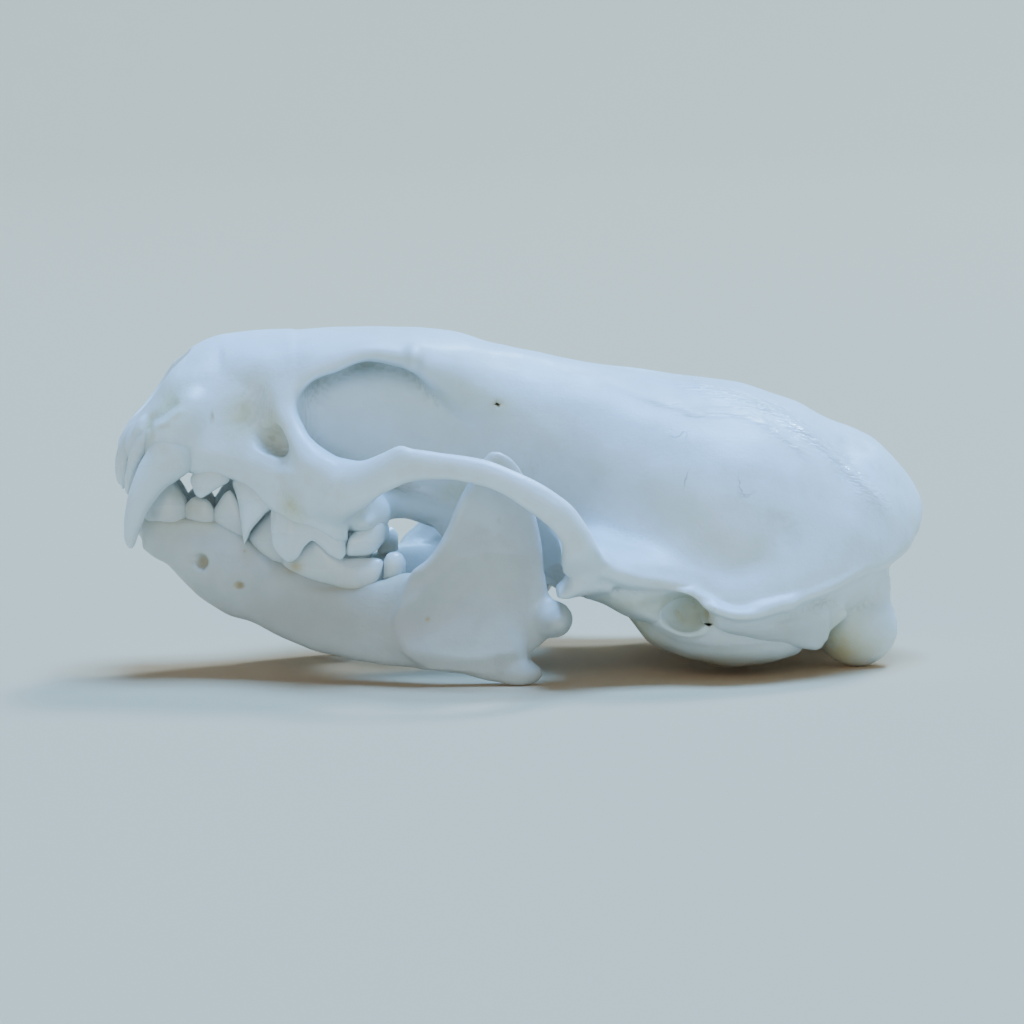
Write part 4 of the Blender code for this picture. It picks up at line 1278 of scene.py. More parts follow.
    marks: tuple = (
        Ridge(0.12, 0.5, ((-9.2, 26.5), (-7.6, 27.0), (-3.0, 26.4), (3.0, 25.3)), 1.0),
        Ridge(0.1, 0.26, lower_temporal_line, 1.0),
        Ridge(0.17, 0.26, upper_temporal_line, 1.0),
        Ridge(-0.1, 0.5, ((13.5, 22.4), (16.5, 22.0), (19.0, 21.4), (20.8, 20.4), (22.6, 18.9)), 1.0),
        Ridge(0.18, 0.4, ear_ledge, 10.0),
        Ridge(-0.22, 0.35, ((16.6, 3.9), (18.4, 4.3), (20.4, 4.9), (22.2, 5.6), (25.1, 6.0)), 9.5, 14.0),
        Ridge(0.2, 0.25, ((24.2, 5.6), (24.35, 3.9), (24.0, 2.6)), 8.0),
        Ridge(0.14, 0.2, ((-30.05, 20.1), (-29.8, 20.9), (-29.0, 21.3), (-28.5, 21.8), (-27.6, 22.4)), 5.0),
        Ridge(-0.2, 0.3, ((-30.6, 20.4), (-30.4, 21.3), (-29.5, 21.9), (-28.9, 22.5), (-28.0, 23.2)), 4.5),
        Dent(-0.35, (-22.4, 7.0, 22.0), (1.9, 2.5, 1.8)),
        Dent(-0.3, (-20.6, 8.0, 19.7), (1.3, 2.5, 1.6)),
        Dent(-0.25, (-28.6, 6.0, 23.2), (1.5, 2.5, 1.5)),
        Dent(-0.4, (27.0, 3.0, 18.2), (2.2, 3.0, 1.0)),
        Dent(-0.15, (-6.0, 6.0, 24.0), (3.0, 3.0, 1.5)),
        Dent(0.35, (-19.1, 8.6, 17.1), (1.0, 2.0, 0.6)),
        Dent(0.2, (-7.8, 4.9, 19.6), (0.35, 1.5, 0.3)),
        Dent(0.15, (-26.0, 6.6, 18.4), (1.5, 1.5, 0.8)),
    )
    rough_band: tuple = (
        (12.4, 23.6), (14.7, 23.2), (17.2, 22.5), (20.8, 21.3), (22.0, 20.3), (23.6, 19.2),
        (24.9, 18.0), (26.2, 16.7), (27.5, 15.4), (28.8, 14.0), (29.6, 12.9),
    )
    masks: BoneMasks = BoneMasks(
        # Warm tints: the bone's own yellowing in thin spots, and painted warm shade under the condyles and
        # in the ear opening.
        warm=(
            Patch((-28.7, 5.5, 22.6), (1.6, 3.0, 2.0), 0.8),
            Patch((-30.3, 5.3, 21.0), (0.5, 2.0, 1.6), 0.9),
            Patch((-22.8, 7.0, 21.8), (1.4, 2.5, 1.9), 0.9),
            Patch((-18.8, 9.0, 14.5), (0.9, 1.5, 1.3), 1.0),
            Patch((-1.8, 5.0, 22.3), (1.2, 2.0, 0.8), 0.8),
            Patch((-5.2, 5.0, 15.0), (2.5, 3.0, 1.0), 0.6),
            Patch((26.4, 7.0, 2.0), (2.2, 3.0, 1.8), 0.9),
            Patch((-20.2, 7.5, 20.2), (1.2, 2.5, 1.9), 0.8),
            Patch((9.0, 13.0, 6.6), (4.0, 3.0, 1.0), 0.6),
            Patch((-5.0, 5.0, 23.0), (3.0, 3.0, 1.6), 0.5),
            Patch((25.8, 8.0, 1.8), (2.2, 4.0, 2.6), 1.0),
            Patch((12.6, 12.0, 5.7), (1.9, 2.4, 1.6), 0.9),
        ),
        pink=(Patch((-20.0, 7.0, 19.5), (1.0, 2.0, 2.0), 0.2),),
        # Brown stains, and painted shade on the dark slit of a small foramen on the snout and the rear wall
        # of the ear opening.
        stain=(
            Patch((-2.2, 5.5, 22.2), (0.5, 2.0, 0.3), 0.5),
            Patch((-25.3, 6.9, 21.75), (0.1, 1.5, 0.3), 0.9),
            Patch((25.6, 7.5, 1.4), (1.6, 2.5, 1.0), 0.3),
            Patch((14.5, 12.6, 5.5), (0.4, 2.2, 1.0), 0.6, 2.0),
        ),
        crack=(
            Patch((12.3, 11.0, 20.4), (0.8, 3.0, 1.0), 0.9, 2.0),
            Patch((13.2, 13.0, 16.3), (0.9, 3.0, 0.8), 0.9, 2.0),
            Patch((17.4, 13.0, 16.0), (0.6, 3.0, 1.1), 0.8, 2.0),
            Patch((-0.6, 5.0, 21.9), (0.8, 2.5, 0.7), 0.5, 2.0),
        ),
        shade=(
            Patch((26.8, 6.0, 0.6), (3.0, 4.5, 2.4), 0.3),
            Patch((19.5, 12.5, 3.8), (5.5, 4.0, 1.6), 0.45),
            Patch((8.5, 11.5, 5.8), (3.6, 4.0, 1.6), 0.35),
            Patch((13.4, 12.4, 5.8), (1.5, 2.6, 1.5), 0.45, 1.6),
        ),
        rough=(
            Ridge(1.0, 0.6, rough_band),
            Ridge(0.5, 0.35, ((9.8, 22.6), (13.6, 21.5), (17.5, 21.3), (21.4, 19.1), (23.0, 17.8))),
            Ridge(0.5, 0.7, ((16.0, 4.6), (19.0, 4.7), (22.0, 4.6), (24.0, 5.4)), 10.0),
        ),
    )

    def solid(self) -> Field:
        """Join the forms of one side, cut its openings, and mirror it."""
        half = Field((-34.2, 0.0, -0.6), (34.2, 20.4, 29.2), self.step)
        body = (
            (Loft(self.braincase), 0.0),
            (Loft(self.frontal), 0.5),
            (Loft(self.rostrum), 0.5),
            (Loft(self.septum), 1.0),
            (Loft(self.palate), 0.7),
            (Loft(self.nuchal), 0.8),
            (Loft(self.skirt), 2.4),
            (Bar(self.mastoid_wall), 0.5),
            (Loft(self.glenoid_wall), 0.6),
            (Loft(self.cheek_root), 0.9),
            (Loft(self.alveolus), 0.8),
            (Loft(self.base), 0.6),
            (Bar(self.rim_bar), 1.1),
            (Bar(self.arch), 0.9),
            (Bar(self.pterygoid), 0.6),
        )
        sculpt(half, body + self.swellings, self.hollows)
        return half.mirrored()

    def build(self, material: Material) -> None:
        """Build the piece, lay its relief on it and dress it."""
        solid = self.solid()
        skin = skinned(solid, 4, self.marks)
        ripple = self.ripple * wander(skin.points, wave=3.5, seed=11)
        skin.raise_by(ripple + self.swell * wander(skin.points, wave=11.0, seed=12))
        piece = make_piece("cranium", skin.points, skin.faces)
        thin_out(piece, PIECE_LIMIT)
        points = points_of(piece)
        # Share of solid round each point, which sets the painted shade.
        near, wide = (solid.sample(solid.crowding(reach), points) for reach in self.shelter_reaches)
        self.masks.write(piece, near, wide)
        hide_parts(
            "rostrum", "orbital_region", "braincase", "occipital_region", "jugal_left", "jugal_right",
            "squamosal_process_left", "squamosal_process_right",
        )
        settle(piece, material)


@dataclass
class EarCapsule:
    """Flattened, inflated bone under the ear with a short outer tube."""

    step: float = 0.12
    ripple: float = 0.03
    rows: tuple = (
        (7.9, 6.2, 5.2, 7.2, 1.0, 5.7, 2.0, 2.0),
        (8.5, 6.5, 4.4, 7.4, 2.2, 5.5, 2.0, 2.0),
        (9.3, 6.5, 3.3, 7.7, 3.1, 5.1, 2.0, 2.2),
        (11.6, 6.4, 1.9, 8.2, 4.3, 4.5, 2.0, 2.3),
        (14.1, 5.9, 1.2, 8.6, 4.9, 4.0, 2.0, 2.4),
        (16.5, 5.4, 0.83, 8.8, 5.0, 3.7, 2.0, 2.4),
        (19.0, 4.9, 1.02, 9.0, 4.6, 3.4, 2.0, 2.4),
        (21.1, 4.6, 1.42, 9.1, 3.6, 3.2, 2.0, 2.2),
        (22.2, 4.3, 1.9, 9.2, 2.3, 3.2, 2.0, 2.0),
        (22.8, 3.9, 2.7, 9.2, 1.2, 3.4, 2.0, 2.0),
    )
    tube: Ball = Ball((12.6, 11.8, 5.2), (3.0, 2.6, 1.75))
    bowl: Ball = Ball((12.0, 14.6, 5.75), (1.95, 3.6, 1.75), turn=28)
    hole: Ball = Ball((14.35, 12.0, 5.3), (0.45, 2.6, 0.9))
    marks: tuple = (
        Ridge(0.12, 0.2, ((10.7, 5.2), (11.4, 4.3), (12.4, 3.95), (13.5, 3.95), (14.5, 4.4)), 12.6),
        Ridge(-0.12, 0.35, ((10.0, 4.4), (12.0, 3.0), (16.0, 2.6), (20.5, 2.9)), 10.5),
        Dent(0.12, (16.5, 9.0, 0.9), (3.0, 2.5, 1.0)),
    )
    masks: BoneMasks = BoneMasks(
        # Warm tints: the bone's own yellowing, and painted warm shade on the capsule's underside and in the
        # ear opening.
        warm=(
            Patch((9.5, 8.5, 4.5), (2.0, 4.0, 2.2), 0.9),
            Patch((14.0, 9.0, 1.0), (6.0, 4.0, 1.2), 0.45),
            Patch((13.2, 12.5, 5.6), (1.8, 1.5, 1.6), 0.9),
        ),
        # Painted shade on the rear wall of the ear opening.
        stain=(Patch((14.5, 12.2, 5.3), (0.45, 2.2, 1.0), 0.7, 2.0),),
        shade=(
            Patch((15.0, 8.5, 0.6), (9.0, 6.5, 3.0), 0.95),
            Patch((13.4, 12.2, 5.8), (1.5, 1.6, 1.5), 0.45, 1.6),
        ),
    )

    def build(self, side: Side, material: Material) -> None:
        """Build the capsule of one side.

        Args:
            side: which side of the skull.
            material: the bone finish.
        """
        solid = Field((7.0, 2.6, -0.2), (23.6, 15.4, 7.8), self.step)
        sculpt(solid, ((Loft(self.rows), 0.0), (self.tube, 1.2)), ((self.bowl, 0.3), (self.hole, 0.25)))
        skin = skinned(solid, 4, self.marks)
        skin.raise_by(self.ripple * wander(skin.points, wave=2.5, seed=21 + side.value))
        piece = paired_bone("ear_capsule", solid, skin, side, self.masks)
        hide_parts(f"auditory_bulla_{side.name.lower()}")
        settle(piece, material)


@dataclass
class JawHalf:
    """One half of the lower jaw: tapering body, tall blade behind, hinge roll and angle."""

    step: float = 0.16
    ripple: float = 0.03
    alveolus: tuple = (
        (-31.3, 13.3, 10.6, 2.5, 1.3, 12.2, 3.0, 2.0),
        (-30.2, 13.35, 9.8, 3.1, 1.7, 12.1, 3.4, 2.0),
        (-28.6, 13.3, 9.2, 3.55, 1.6, 12.1, 3.4, 2.0),
        (-27.2, 13.3, 8.8, 4.1, 1.4, 12.0, 3.4, 2.0),
        (-26.0, 13.2, 8.8, 4.6, 1.25, 11.8, 3.4, 2.0),
        (-24.8, 12.9, 8.6, 5.0, 1.2, 11.5, 3.4, 2.0),
        (-23.6, 12.4, 8.4, 5.4, 1.2, 11.0, 3.4, 2.0),
        (-22.4, 11.4, 8.0, 5.9, 1.2, 10.3, 3.0, 2.0),
        (-21.2, 10.3, 7.6, 6.4, 1.1, 9.4, 2.4, 2.0),
    )
    body: tuple = (
        (-31.65, 13.0, -31.7, 11.8, 1.45, 1.1),
        (-30.65, 13.15, -30.05, 10.25, 2.3, 1.9),
        (-29.0, 12.95, -28.0, 7.9, 2.8, 2.35),
        (-27.1, 12.75, -26.25, 6.3, 3.5, 2.4),
        (-25.2, 12.5, -24.5, 5.25, 4.5, 2.1),
        (-22.85, 11.3, -22.25, 4.55, 5.6, 1.75),
        (-20.3, 9.95, -20.0, 3.55, 6.8, 1.65),
        (-17.2, 8.65, -17.05, 2.45, 8.1, 1.65),
        (-14.8, 8.05, -14.5, 1.95, 9.0, 1.65),
        (-12.2, 8.4, -11.8, 1.55, 10.0, 1.6),
        (-9.7, 9.1, -9.05, 1.35, 11.0, 1.45),
        (-6.65, 8.45, -6.45, 1.2, 11.9, 1.15),
        (-3.6, 7.0, -3.4, 0.4, 12.4, 0.95),
        (-1.1, 4.2, -0.8, -0.05, 12.6, 0.85),
    )
    ramus: tuple = (
        (1.5, -8.4, 0.1, 12.0, 0.8),
        (2.4, -9.6, 0.05, 12.15, 0.85),
        (3.3, -10.3, 0.95, 12.2, 0.9),
        (4.9, -10.9, 1.5, 12.3, 0.9),
        (7.1, -10.5, 1.5, 12.4, 0.9),
        (9.1, -9.55, 1.0, 12.5, 0.9),
        (10.4, -8.1, 0.9, 12.7, 0.9),
        (11.65, -7.2, 0.75, 12.8, 0.85),
        (13.2, -6.4, 0.45, 12.95, 0.8),
        (15.2, -5.5, 0.0, 13.1, 0.7),
        (16.65, -4.7, -0.4, 13.15, 0.62),
        (17.85, -4.0, -0.9, 13.2, 0.55),
        (18.6, -3.4, -1.7, 13.25, 0.5),
        (18.95, -3.0, -2.3, 13.25, 0.4),
    )
    swellings: tuple = (
        (Ball((1.95, 13.1, 5.4), (1.4, 3.1, 1.3)), 1.2),
        (Ball((-0.75, 12.6, 0.95), (1.6, 0.95, 1.0)), 0.6),
        (Ball((-29.4, 3.0, 12.4), (1.5, 1.6, 1.4)), 0.8),
    )
    hollows: tuple = (
        (Ball((-5.2, 15.1, 6.6), (6.4, 2.0, 3.9), tilt=-14), 1.6),
        (Ball((-9.0, 14.3, 4.9), (3.2, 1.6, 1.5), tilt=-25), 1.2),
        (Ball((-26.45, 6.1, 9.75), (0.62, 0.95, 0.72), turn=20), 0.1),
        (Ball((-27.3, 6.5, 10.0), (1.3, 1.1, 0.5), tilt=-14, turn=22), 0.25),
        (Ball((-23.45, 7.35, 7.9), (0.45, 0.75, 0.33), turn=20), 0.06),
        (Ball((-8.3, 13.2, 5.5), (0.16, 0.7, 0.2)), 0.1),
    )
    muscle_line: tuple = (
        (-11.2, 4.2), (-10.9, 5.5), (-8.9, 7.6), (-6.8, 9.5), (-4.0, 10.8), (-0.8, 10.3), (1.2, 7.8),
    )
    front_edge: tuple = ((-10.4, 8.8), (-8.0, 10.2), (-6.3, 12.3), (-5.1, 15.2), (-3.9, 17.0), (-3.1, 18.6))
    marks: tuple = (
        Ridge(0.07, 0.4, muscle_line, 11.5),
        Ridge(0.2, 0.45, front_edge, 12.6),
        Ridge(0.16, 0.4, ((-0.7, 17.5), (0.0, 14.3), (0.7, 11.4), (1.2, 7.7)), 12.6),
        Ridge(0.12, 0.5, ((-11.7, 3.4), (-8.9, 2.8), (-4.9, 2.3), (-0.9, 2.9)), 11.5),
        Dent(-0.15, (-2.6, 13.8, 13.8), (1.2, 1.0, 3.0)),
        Dent(0.15, (-16.0, 9.8, 7.4), (2.5, 1.5, 1.0)),
    )
    masks: BoneMasks = BoneMasks(
        warm=(
            Patch((-29.0, 4.5, 13.5), (2.0, 3.0, 1.2), 0.5),
            Patch((-25.0, 5.5, 13.0), (3.0, 3.0, 0.8), 0.5),
            Patch((-12.0, 9.5, 8.9), (2.0, 2.5, 0.7), 0.6),
        ),
        pink=(
            Patch((-10.2, 12.0, 4.6), (1.6, 2.0, 1.3), 0.9),
            Patch((-6.5, 12.3, 4.9), (3.2, 2.0, 1.6), 0.45),
            Patch((-16.8, 9.0, 7.3), (1.6, 2.0, 1.0), 0.6),
            Patch((-17.5, 8.5, 5.2), (5.0, 3.0, 2.2), 0.6),
        ),
        # Stains round the small holes, and painted shade in a small dark pit on the jaw's side.
        stain=(
            Patch((-26.3, 5.6, 9.75), (0.45, 1.2, 0.6), 0.3, 2.0),
            Patch((-23.45, 6.8, 7.9), (0.45, 1.2, 0.34), 0.55, 3.0),
            Patch((-22.9, 7.0, 10.7), (0.1, 1.0, 0.1), 0.8),
            Patch((-8.3, 12.2, 5.5), (0.16, 1.5, 0.2), 0.9),
            Patch((-14.4, 9.4, 7.75), (3.0, 1.5, 0.22), 0.35),
            Patch((-19.0, 8.3, 9.4), (0.7, 1.5, 0.45), 0.7),
        ),
        shade=(Patch((-17.0, 8.5, 5.6), (7.5, 4.0, 2.6), 0.35),),
    )

    def build(self, side: Side, material: Material) -> None:
        """Build the jaw half of one side.

        Args:
            side: which side of the skull.
            material: the jaw's bone finish.
        """
        solid = Field((-32.6, -0.4, -0.6), (4.2, 17.0, 20.0), self.step)
        body = ((Bar(self.body, 2.3), 0.0), (Plate(self.ramus), 0.9), (Loft(self.alveolus), 0.6))
        sculpt(solid, body + self.swellings, self.hollows)
        solid.trim(1, GAP / 2)
        solid.trim(2, FLOOR_CLEARANCE)
        skin = skinned(solid, 3, self.marks)
        ripple = wander(skin.points, wave=3.0, seed=31 + side.value)
        skin.raise_by(self.ripple * ripple + self.ripple * wander(skin.points, wave=8.0, seed=34))
        piece = paired_bone("jaw", solid, skin, side, self.masks)
        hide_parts(f"mandible_{side.name.lower()}")
        settle(piece, material)


def swept(
    centre: Array, across: Array, up: Array, power: float, sharp: float = 0.0, ring: int = 36
) -> Skin:
    """Closed surface of rounded-box rings carried along a path.

    A ring point is centre + u across + v up, where u, v run round the unit outline
    |u|^p + |v|^p = 1, and u is narrowed towards v = 1 by the sharpness.

    Args:
        centre: middle of each ring.
        across: half width of each ring, as a vector.
        up: half height of each ring, as a vector.
        power: roundness of the rings.
        sharp: how far the rings narrow to an edge, 0 to 1.
        ring: points in a ring.

    Returns:
        The surface, of triangles that face outwards; the ends close in a point each.
    """
    angle = np.arange(ring) * 2 * math.pi / ring
    c, s = np.cos(angle), np.sin(angle)
    u = np.sign(c) * np.abs(c) ** (2 / power)
    v = np.sign(s) * np.abs(s) ** (2 / power)
    u = u * (1 - sharp * np.clip((v + 1) / 2, 0, 1))
    rings = centre[:, None] + u[:, None] * across[:, None] + v[:, None] * up[:, None]
    points = np.concatenate((rings.reshape(-1, 3), centre[:1], centre[-1:]))
    many = len(rings)
    j, k = np.arange(ring), np.roll(np.arange(ring), -1)
    start = np.arange(many - 1)[:, None] * ring
    first, last, top = many * ring, many * ring + 1, (many - 1) * ring
    corners = (
        (start + j, start + k, start + k + ring),
        (start + j, start + k + ring, start + j + ring),
        (k, j, np.full(ring, first)),
        (top + j, top + k, np.full(ring, last)),
    )
    faces = np.concatenate([np.stack(trio, axis=-1).reshape(-1, 3) for trio in corners])
    one, two, three = (points[faces[:, n]] for n in range(3))
    volume = np.einsum("ij,ij->i", one, np.cross(two, three)).sum()
    return Skin(points, faces if volume > 0 else faces[:, ::-1])


def finish_tooth(
    name: str, skin: Skin, side: Side, neck: Array, grooves: tuple, material: Material
) -> None:
    """Make a tooth's piece on its own side and dress it.

    Args:
        name: the piece's name without its side.
        skin: surface of the right tooth.
        side: which side of the skull.
        neck: share of the neck's colour on each point.
        grooves: patches of brown staining.
        material: the enamel.
    """
    piece = on_side(name, skin, side)
    write_mask(piece, "neck", neck)
    write_mask(piece, "groove", patched(skin.points, grooves))
    settle(piece, material)


@dataclass(frozen=True)
class Tooth:
    """Tooth swept between two edges given in side view.

    Rows are the first edge's x and z, the second edge's x and z, out and half thickness.
    The section narrows towards the second edge by `sharp`. `lean` moves the second edge
    outward, so that a cutting edge can stand away from the gum line. `yaw` is the outward
    shift for each millimetre to the rear, so that a tooth follows its row.
    """

    rows: tuple
    power: float = 2.0
    sharp: float = 0.0
    lean: float = 0.0
    yaw: float = 0.0
    neck_level: float = 0.0
    neck_share: float = 0.6
    neck_height: float = 2.4
    marks: tuple = ()
    grooves: tuple = ()
    per_span: int = 7
    least_half: float = 0.01
    ripple: float = 0.012

    def build(self, name: str, side: Side, slot: Slot, material: Material) -> None:
        """Build the tooth of one side.

        Args:
            name: the piece's name without its side.
            side: which side of the skull.
            slot: material slot of the bone that carries it.
            material: the enamel.
        """
        table = along(self.rows, self.per_span)
        first, second, out = table[:, 0:2], table[:, 2:4], table[:, 4]
        half = np.maximum(table[:, 5], self.least_half)
        middle, arm = (first + second) / 2, (second - first) / 2
        centre = np.column_stack((middle[:, 0], out + self.lean / 2, middle[:, 1]))
        up = np.column_stack((arm[:, 0], self.lean / 2 + self.yaw * arm[:, 0], arm[:, 1]))
        skin = swept(centre, half[:, None] * (0.0, 1.0, 0.0), up, self.power, self.sharp)
        ripple = self.ripple * wander(skin.points, wave=1.2, seed=len(name) + 50)
        relief(skin, self.marks)
        skin.raise_by(ripple)
        rise = (skin.points[:, 2] - self.neck_level) * (1 if slot is Slot.BONE else -1)
        neck = self.neck_share + rise / self.neck_height
        finish_tooth(name, skin, side, neck, self.grooves, material)


@dataclass(frozen=True)
class Molar:
    """Tooth that lies across the jaw: rows are out, x, top, bottom and half length."""

    rows: tuple
    power: float = 2.6
    neck_level: float = 12.5
    neck_height: float = 2.0
    grooves: tuple = ()
    per_span: int = 7

    def build(self, name: str, side: Side, slot: Slot, material: Material) -> None:
        """Build the tooth of one side from sections across X carried outward.

        Args:
            name: the piece's name without its side.
            side: which side of the skull.
            slot: not used.
            material: the enamel.
        """
        out, x, top, low, half = along(self.rows, self.per_span).T
        centre = np.column_stack((x, out, (top + low) / 2))
        across, up = half[:, None] * (1.0, 0.0, 0.0), (top - low)[:, None] / 2 * (0.0, 0.0, 1.0)
        skin = swept(centre, across, up, self.power)
        neck = (skin.points[:, 2] - self.neck_level) / self.neck_height
        finish_tooth(name, skin, side, neck, self.grooves, material)


class TeethOfJaw:
    """Teeth of one jaw: every field of a subclass is a tooth, and the piece is named after it."""

    def build(self, jaw: str, slot: Slot, material: Material) -> None:
        """Build the teeth of both sides.

        Args:
            jaw: first word of the pieces' names.
            slot: material slot of the bone that carries them.
            material: the enamel.
        """
        for side in Side:
            for tooth in fields(self):
                getattr(self, tooth.name).build(f"{jaw}_{tooth.name}", side, slot, material)


@dataclass(frozen=True)
class UpperTeeth(TeethOfJaw):
    """Teeth of the upper jaw."""

    incisor_1: Tooth = Tooth(
        (
            (-32.9, 19.4, -32.0, 19.0, 0.78, 0.5),
            (-33.3, 18.4, -32.1, 18.1, 0.8, 0.6),
            (-33.44, 17.4, -32.4, 17.2, 0.8, 0.62),
            (-33.42, 16.6, -32.7, 16.5, 0.76, 0.52),
            (-33.3, 16.0, -32.95, 16.0, 0.7, 0.35),
            (-33.15, 15.75, -33.1, 15.75, 0.7, 0.1),
        ),
        neck_level=18.2,
    )
    incisor_2: Tooth = Tooth(
        (
            (-32.0, 20.8, -31.2, 20.4, 2.6, 0.45),
            (-32.6, 19.9, -31.4, 19.4, 2.65, 0.66),
            (-32.95, 19.0, -31.7, 18.5, 2.6, 0.76),
            (-33.2, 18.0, -31.95, 17.6, 2.5, 0.76),
            (-33.3, 17.1, -32.15, 16.8, 2.4, 0.66),
            (-33.2, 16.3, -32.4, 16.1, 2.3, 0.5),
            (-32.95, 15.75, -32.6, 15.7, 2.25, 0.28),
            (-32.8, 15.5, -32.74, 15.5, 2.2, 0.05),
        ),
        neck_level=18.3,
    )
    incisor_3: Tooth = Tooth(
        (
            (-30.7, 21.2, -30.3, 21.0, 4.5, 0.35),
            (-31.3, 20.4, -30.35, 20.0, 4.55, 0.62),
            (-31.8, 19.6, -30.5, 19.1, 4.5, 0.74),
            (-32.1, 18.7, -31.0, 18.2, 4.35, 0.76),
            (-32.35, 17.7, -31.45, 17.3, 4.2, 0.68),
            (-32.55, 16.7, -31.75, 16.4, 4.0, 0.54),
            (-32.6, 15.9, -32.0, 15.8, 3.8, 0.38),
            (-32.5, 15.35, -32.2, 15.35, 3.7, 0.2),
            (-32.38, 15.15, -32.34, 15.15, 3.65, 0.04),
        ),
        neck_level=18.9,
    )
    canine: Tooth = Tooth(
        (
            (-29.4, 21.1, -27.7, 20.4, 5.2, 0.9),
            (-30.15, 20.4, -26.9, 19.0, 5.45, 1.72),
            (-30.7, 18.9, -27.0, 17.5, 5.55, 1.72),
            (-31.35, 17.8, -28.1, 16.55, 5.62, 1.5),
            (-31.9, 16.5, -29.2, 15.85, 5.76, 1.28),
            (-32.3, 15.3, -30.1, 14.8, 5.9, 1.08),
            (-32.5, 14.3, -30.75, 13.8, 6.0, 0.9),
            (-32.65, 13.2, -31.25, 12.75, 6.05, 0.75),
            (-32.68, 12.2, -31.55, 12.0, 6.1, 0.62),
            (-32.6, 11.55, -31.75, 11.45, 6.1, 0.48),
            (-32.4, 11.12, -31.95, 11.1, 6.1, 0.28),
            (-32.2, 10.98, -32.12, 10.98, 6.1, 0.05),
        ),
        power=2.3,
        neck_level=18.6,
    )
    premolar_2: Tooth = Tooth(
        (
            (-26.5, 18.3, -24.5, 18.2, 5.1, 0.7),
            (-26.7, 17.4, -24.1, 17.2, 5.4, 0.98),
            (-27.1, 16.75, -24.0, 16.6, 5.5, 1.0),
            (-27.2, 16.3, -24.15, 16.2, 5.55, 0.9),
            (-27.05, 15.85, -24.9, 15.8, 5.6, 0.74),
            (-26.9, 15.4, -25.6, 15.35, 5.65, 0.55),
            (-26.65, 15.1, -26.05, 15.1, 5.65, 0.36),
            (-26.45, 14.98, -26.3, 14.98, 5.65, 0.1),
        ),
        power=2.4,
        yaw=0.15,
        neck_level=16.8,
    )
    premolar_3: Tooth = Tooth(
        (
            (-23.3, 18.0, -21.0, 17.4, 5.8, 0.8),
            (-23.55, 16.9, -20.5, 15.9, 6.15, 1.15),
            (-23.75, 16.1, -20.4, 15.0, 6.4, 1.18),
            (-23.55, 15.3, -20.6, 14.2, 6.6, 1.05),
            (-23.3, 14.4, -21.2, 13.7, 6.85, 0.88),
            (-23.2, 13.4, -21.85, 13.0, 7.05, 0.72),
            (-23.1, 12.5, -22.35, 12.4, 7.2, 0.55),
            (-23.0, 11.8, -22.65, 11.75, 7.3, 0.36),
            (-22.93, 11.35, -22.85, 11.35, 7.4, 0.1),
        ),
        power=2.4,
        yaw=0.4,
        neck_level=15.8,
    )
    carnassial: Tooth = Tooth(
        (
            (-20.65, 14.6, -20.75, 12.6, 7.4, 0.35),
            (-20.2, 15.0, -20.6, 11.3, 7.55, 0.85),
            (-19.8, 15.2, -20.0, 10.35, 7.7, 1.05),
            (-19.2, 15.0, -19.25, 9.9, 7.9, 1.15),
            (-18.7, 14.8, -18.6, 10.3, 8.1, 1.15),
            (-18.2, 14.5, -18.05, 11.2, 8.3, 1.15),
            (-17.6, 14.2, -17.4, 11.7, 8.5, 1.15),
            (-16.9, 13.8, -16.7, 11.2, 8.75, 1.15),
            (-16.1, 13.4, -15.9, 10.5, 8.95, 1.1),
            (-15.3, 13.0, -15.2, 10.2, 9.1, 0.95),
            (-14.75, 12.6, -14.75, 10.6, 9.1, 0.45),
        ),
        power=2.3,
        sharp=0.5,
        lean=1.0,
        neck_level=13.2,
        marks=(Ridge(0.12, 0.3, ((-19.4, 13.2), (-19.3, 11.6), (-19.2, 10.2)), 8.0),),
        grooves=(Patch((-18.9, 9.5, 9.7), (0.5, 1.5, 0.35), 0.9),),
    )
    carnassial_inner_cusp: Tooth = Tooth(
        (
            (-20.1, 15.2, -18.3, 15.2, 6.6, 1.0),
            (-20.2, 14.3, -18.2, 14.3, 6.5, 1.05),
            (-20.0, 13.4, -18.4, 13.4, 6.4, 0.9),
            (-19.7, 12.7, -18.7, 12.7, 6.35, 0.55),
            (-19.25, 12.35, -19.15, 12.35, 6.3, 0.08),
        ),
        neck_level=14.2,
    )
    molar_outer_cusps: Tooth = Tooth(
        (
            (-14.7, 11.2, -14.7, 10.55, 9.3, 0.45),
            (-14.35, 12.0, -14.35, 10.4, 9.2, 1.0),
            (-13.6, 12.5, -13.6, 10.35, 9.1, 1.2),
            (-12.9, 12.9, -12.9, 10.4, 9.0, 1.25),
            (-12.3, 13.3, -12.2, 10.75, 8.9, 1.2),
            (-11.8, 13.5, -11.7, 11.4, 8.8, 0.95),
            (-11.45, 13.4, -11.4, 12.3, 8.7, 0.45),
        ),
        power=2.4,
        neck_level=12.4,
        grooves=(Patch((-13.0, 10.2, 10.35), (1.4, 1.2, 0.2), 0.6),),
    )
    molar: Molar = Molar(
        (
            (5.0, -12.7, 13.4, 12.1, 0.5),
            (5.5, -12.75, 13.2, 11.2, 1.4),
            (6.5, -12.8, 13.2, 10.9, 1.7),
            (7.6, -12.8, 13.0, 11.4, 1.2),
            (8.6, -12.85, 12.8, 11.0, 1.3),
            (9.3, -12.9, 12.4, 11.0, 1.2),
            (9.7, -12.95, 12.0, 11.3, 0.5),
        ),
        grooves=(Patch((-11.2, 7.0, 14.9), (0.4, 1.5, 0.4), 0.8),),
    )


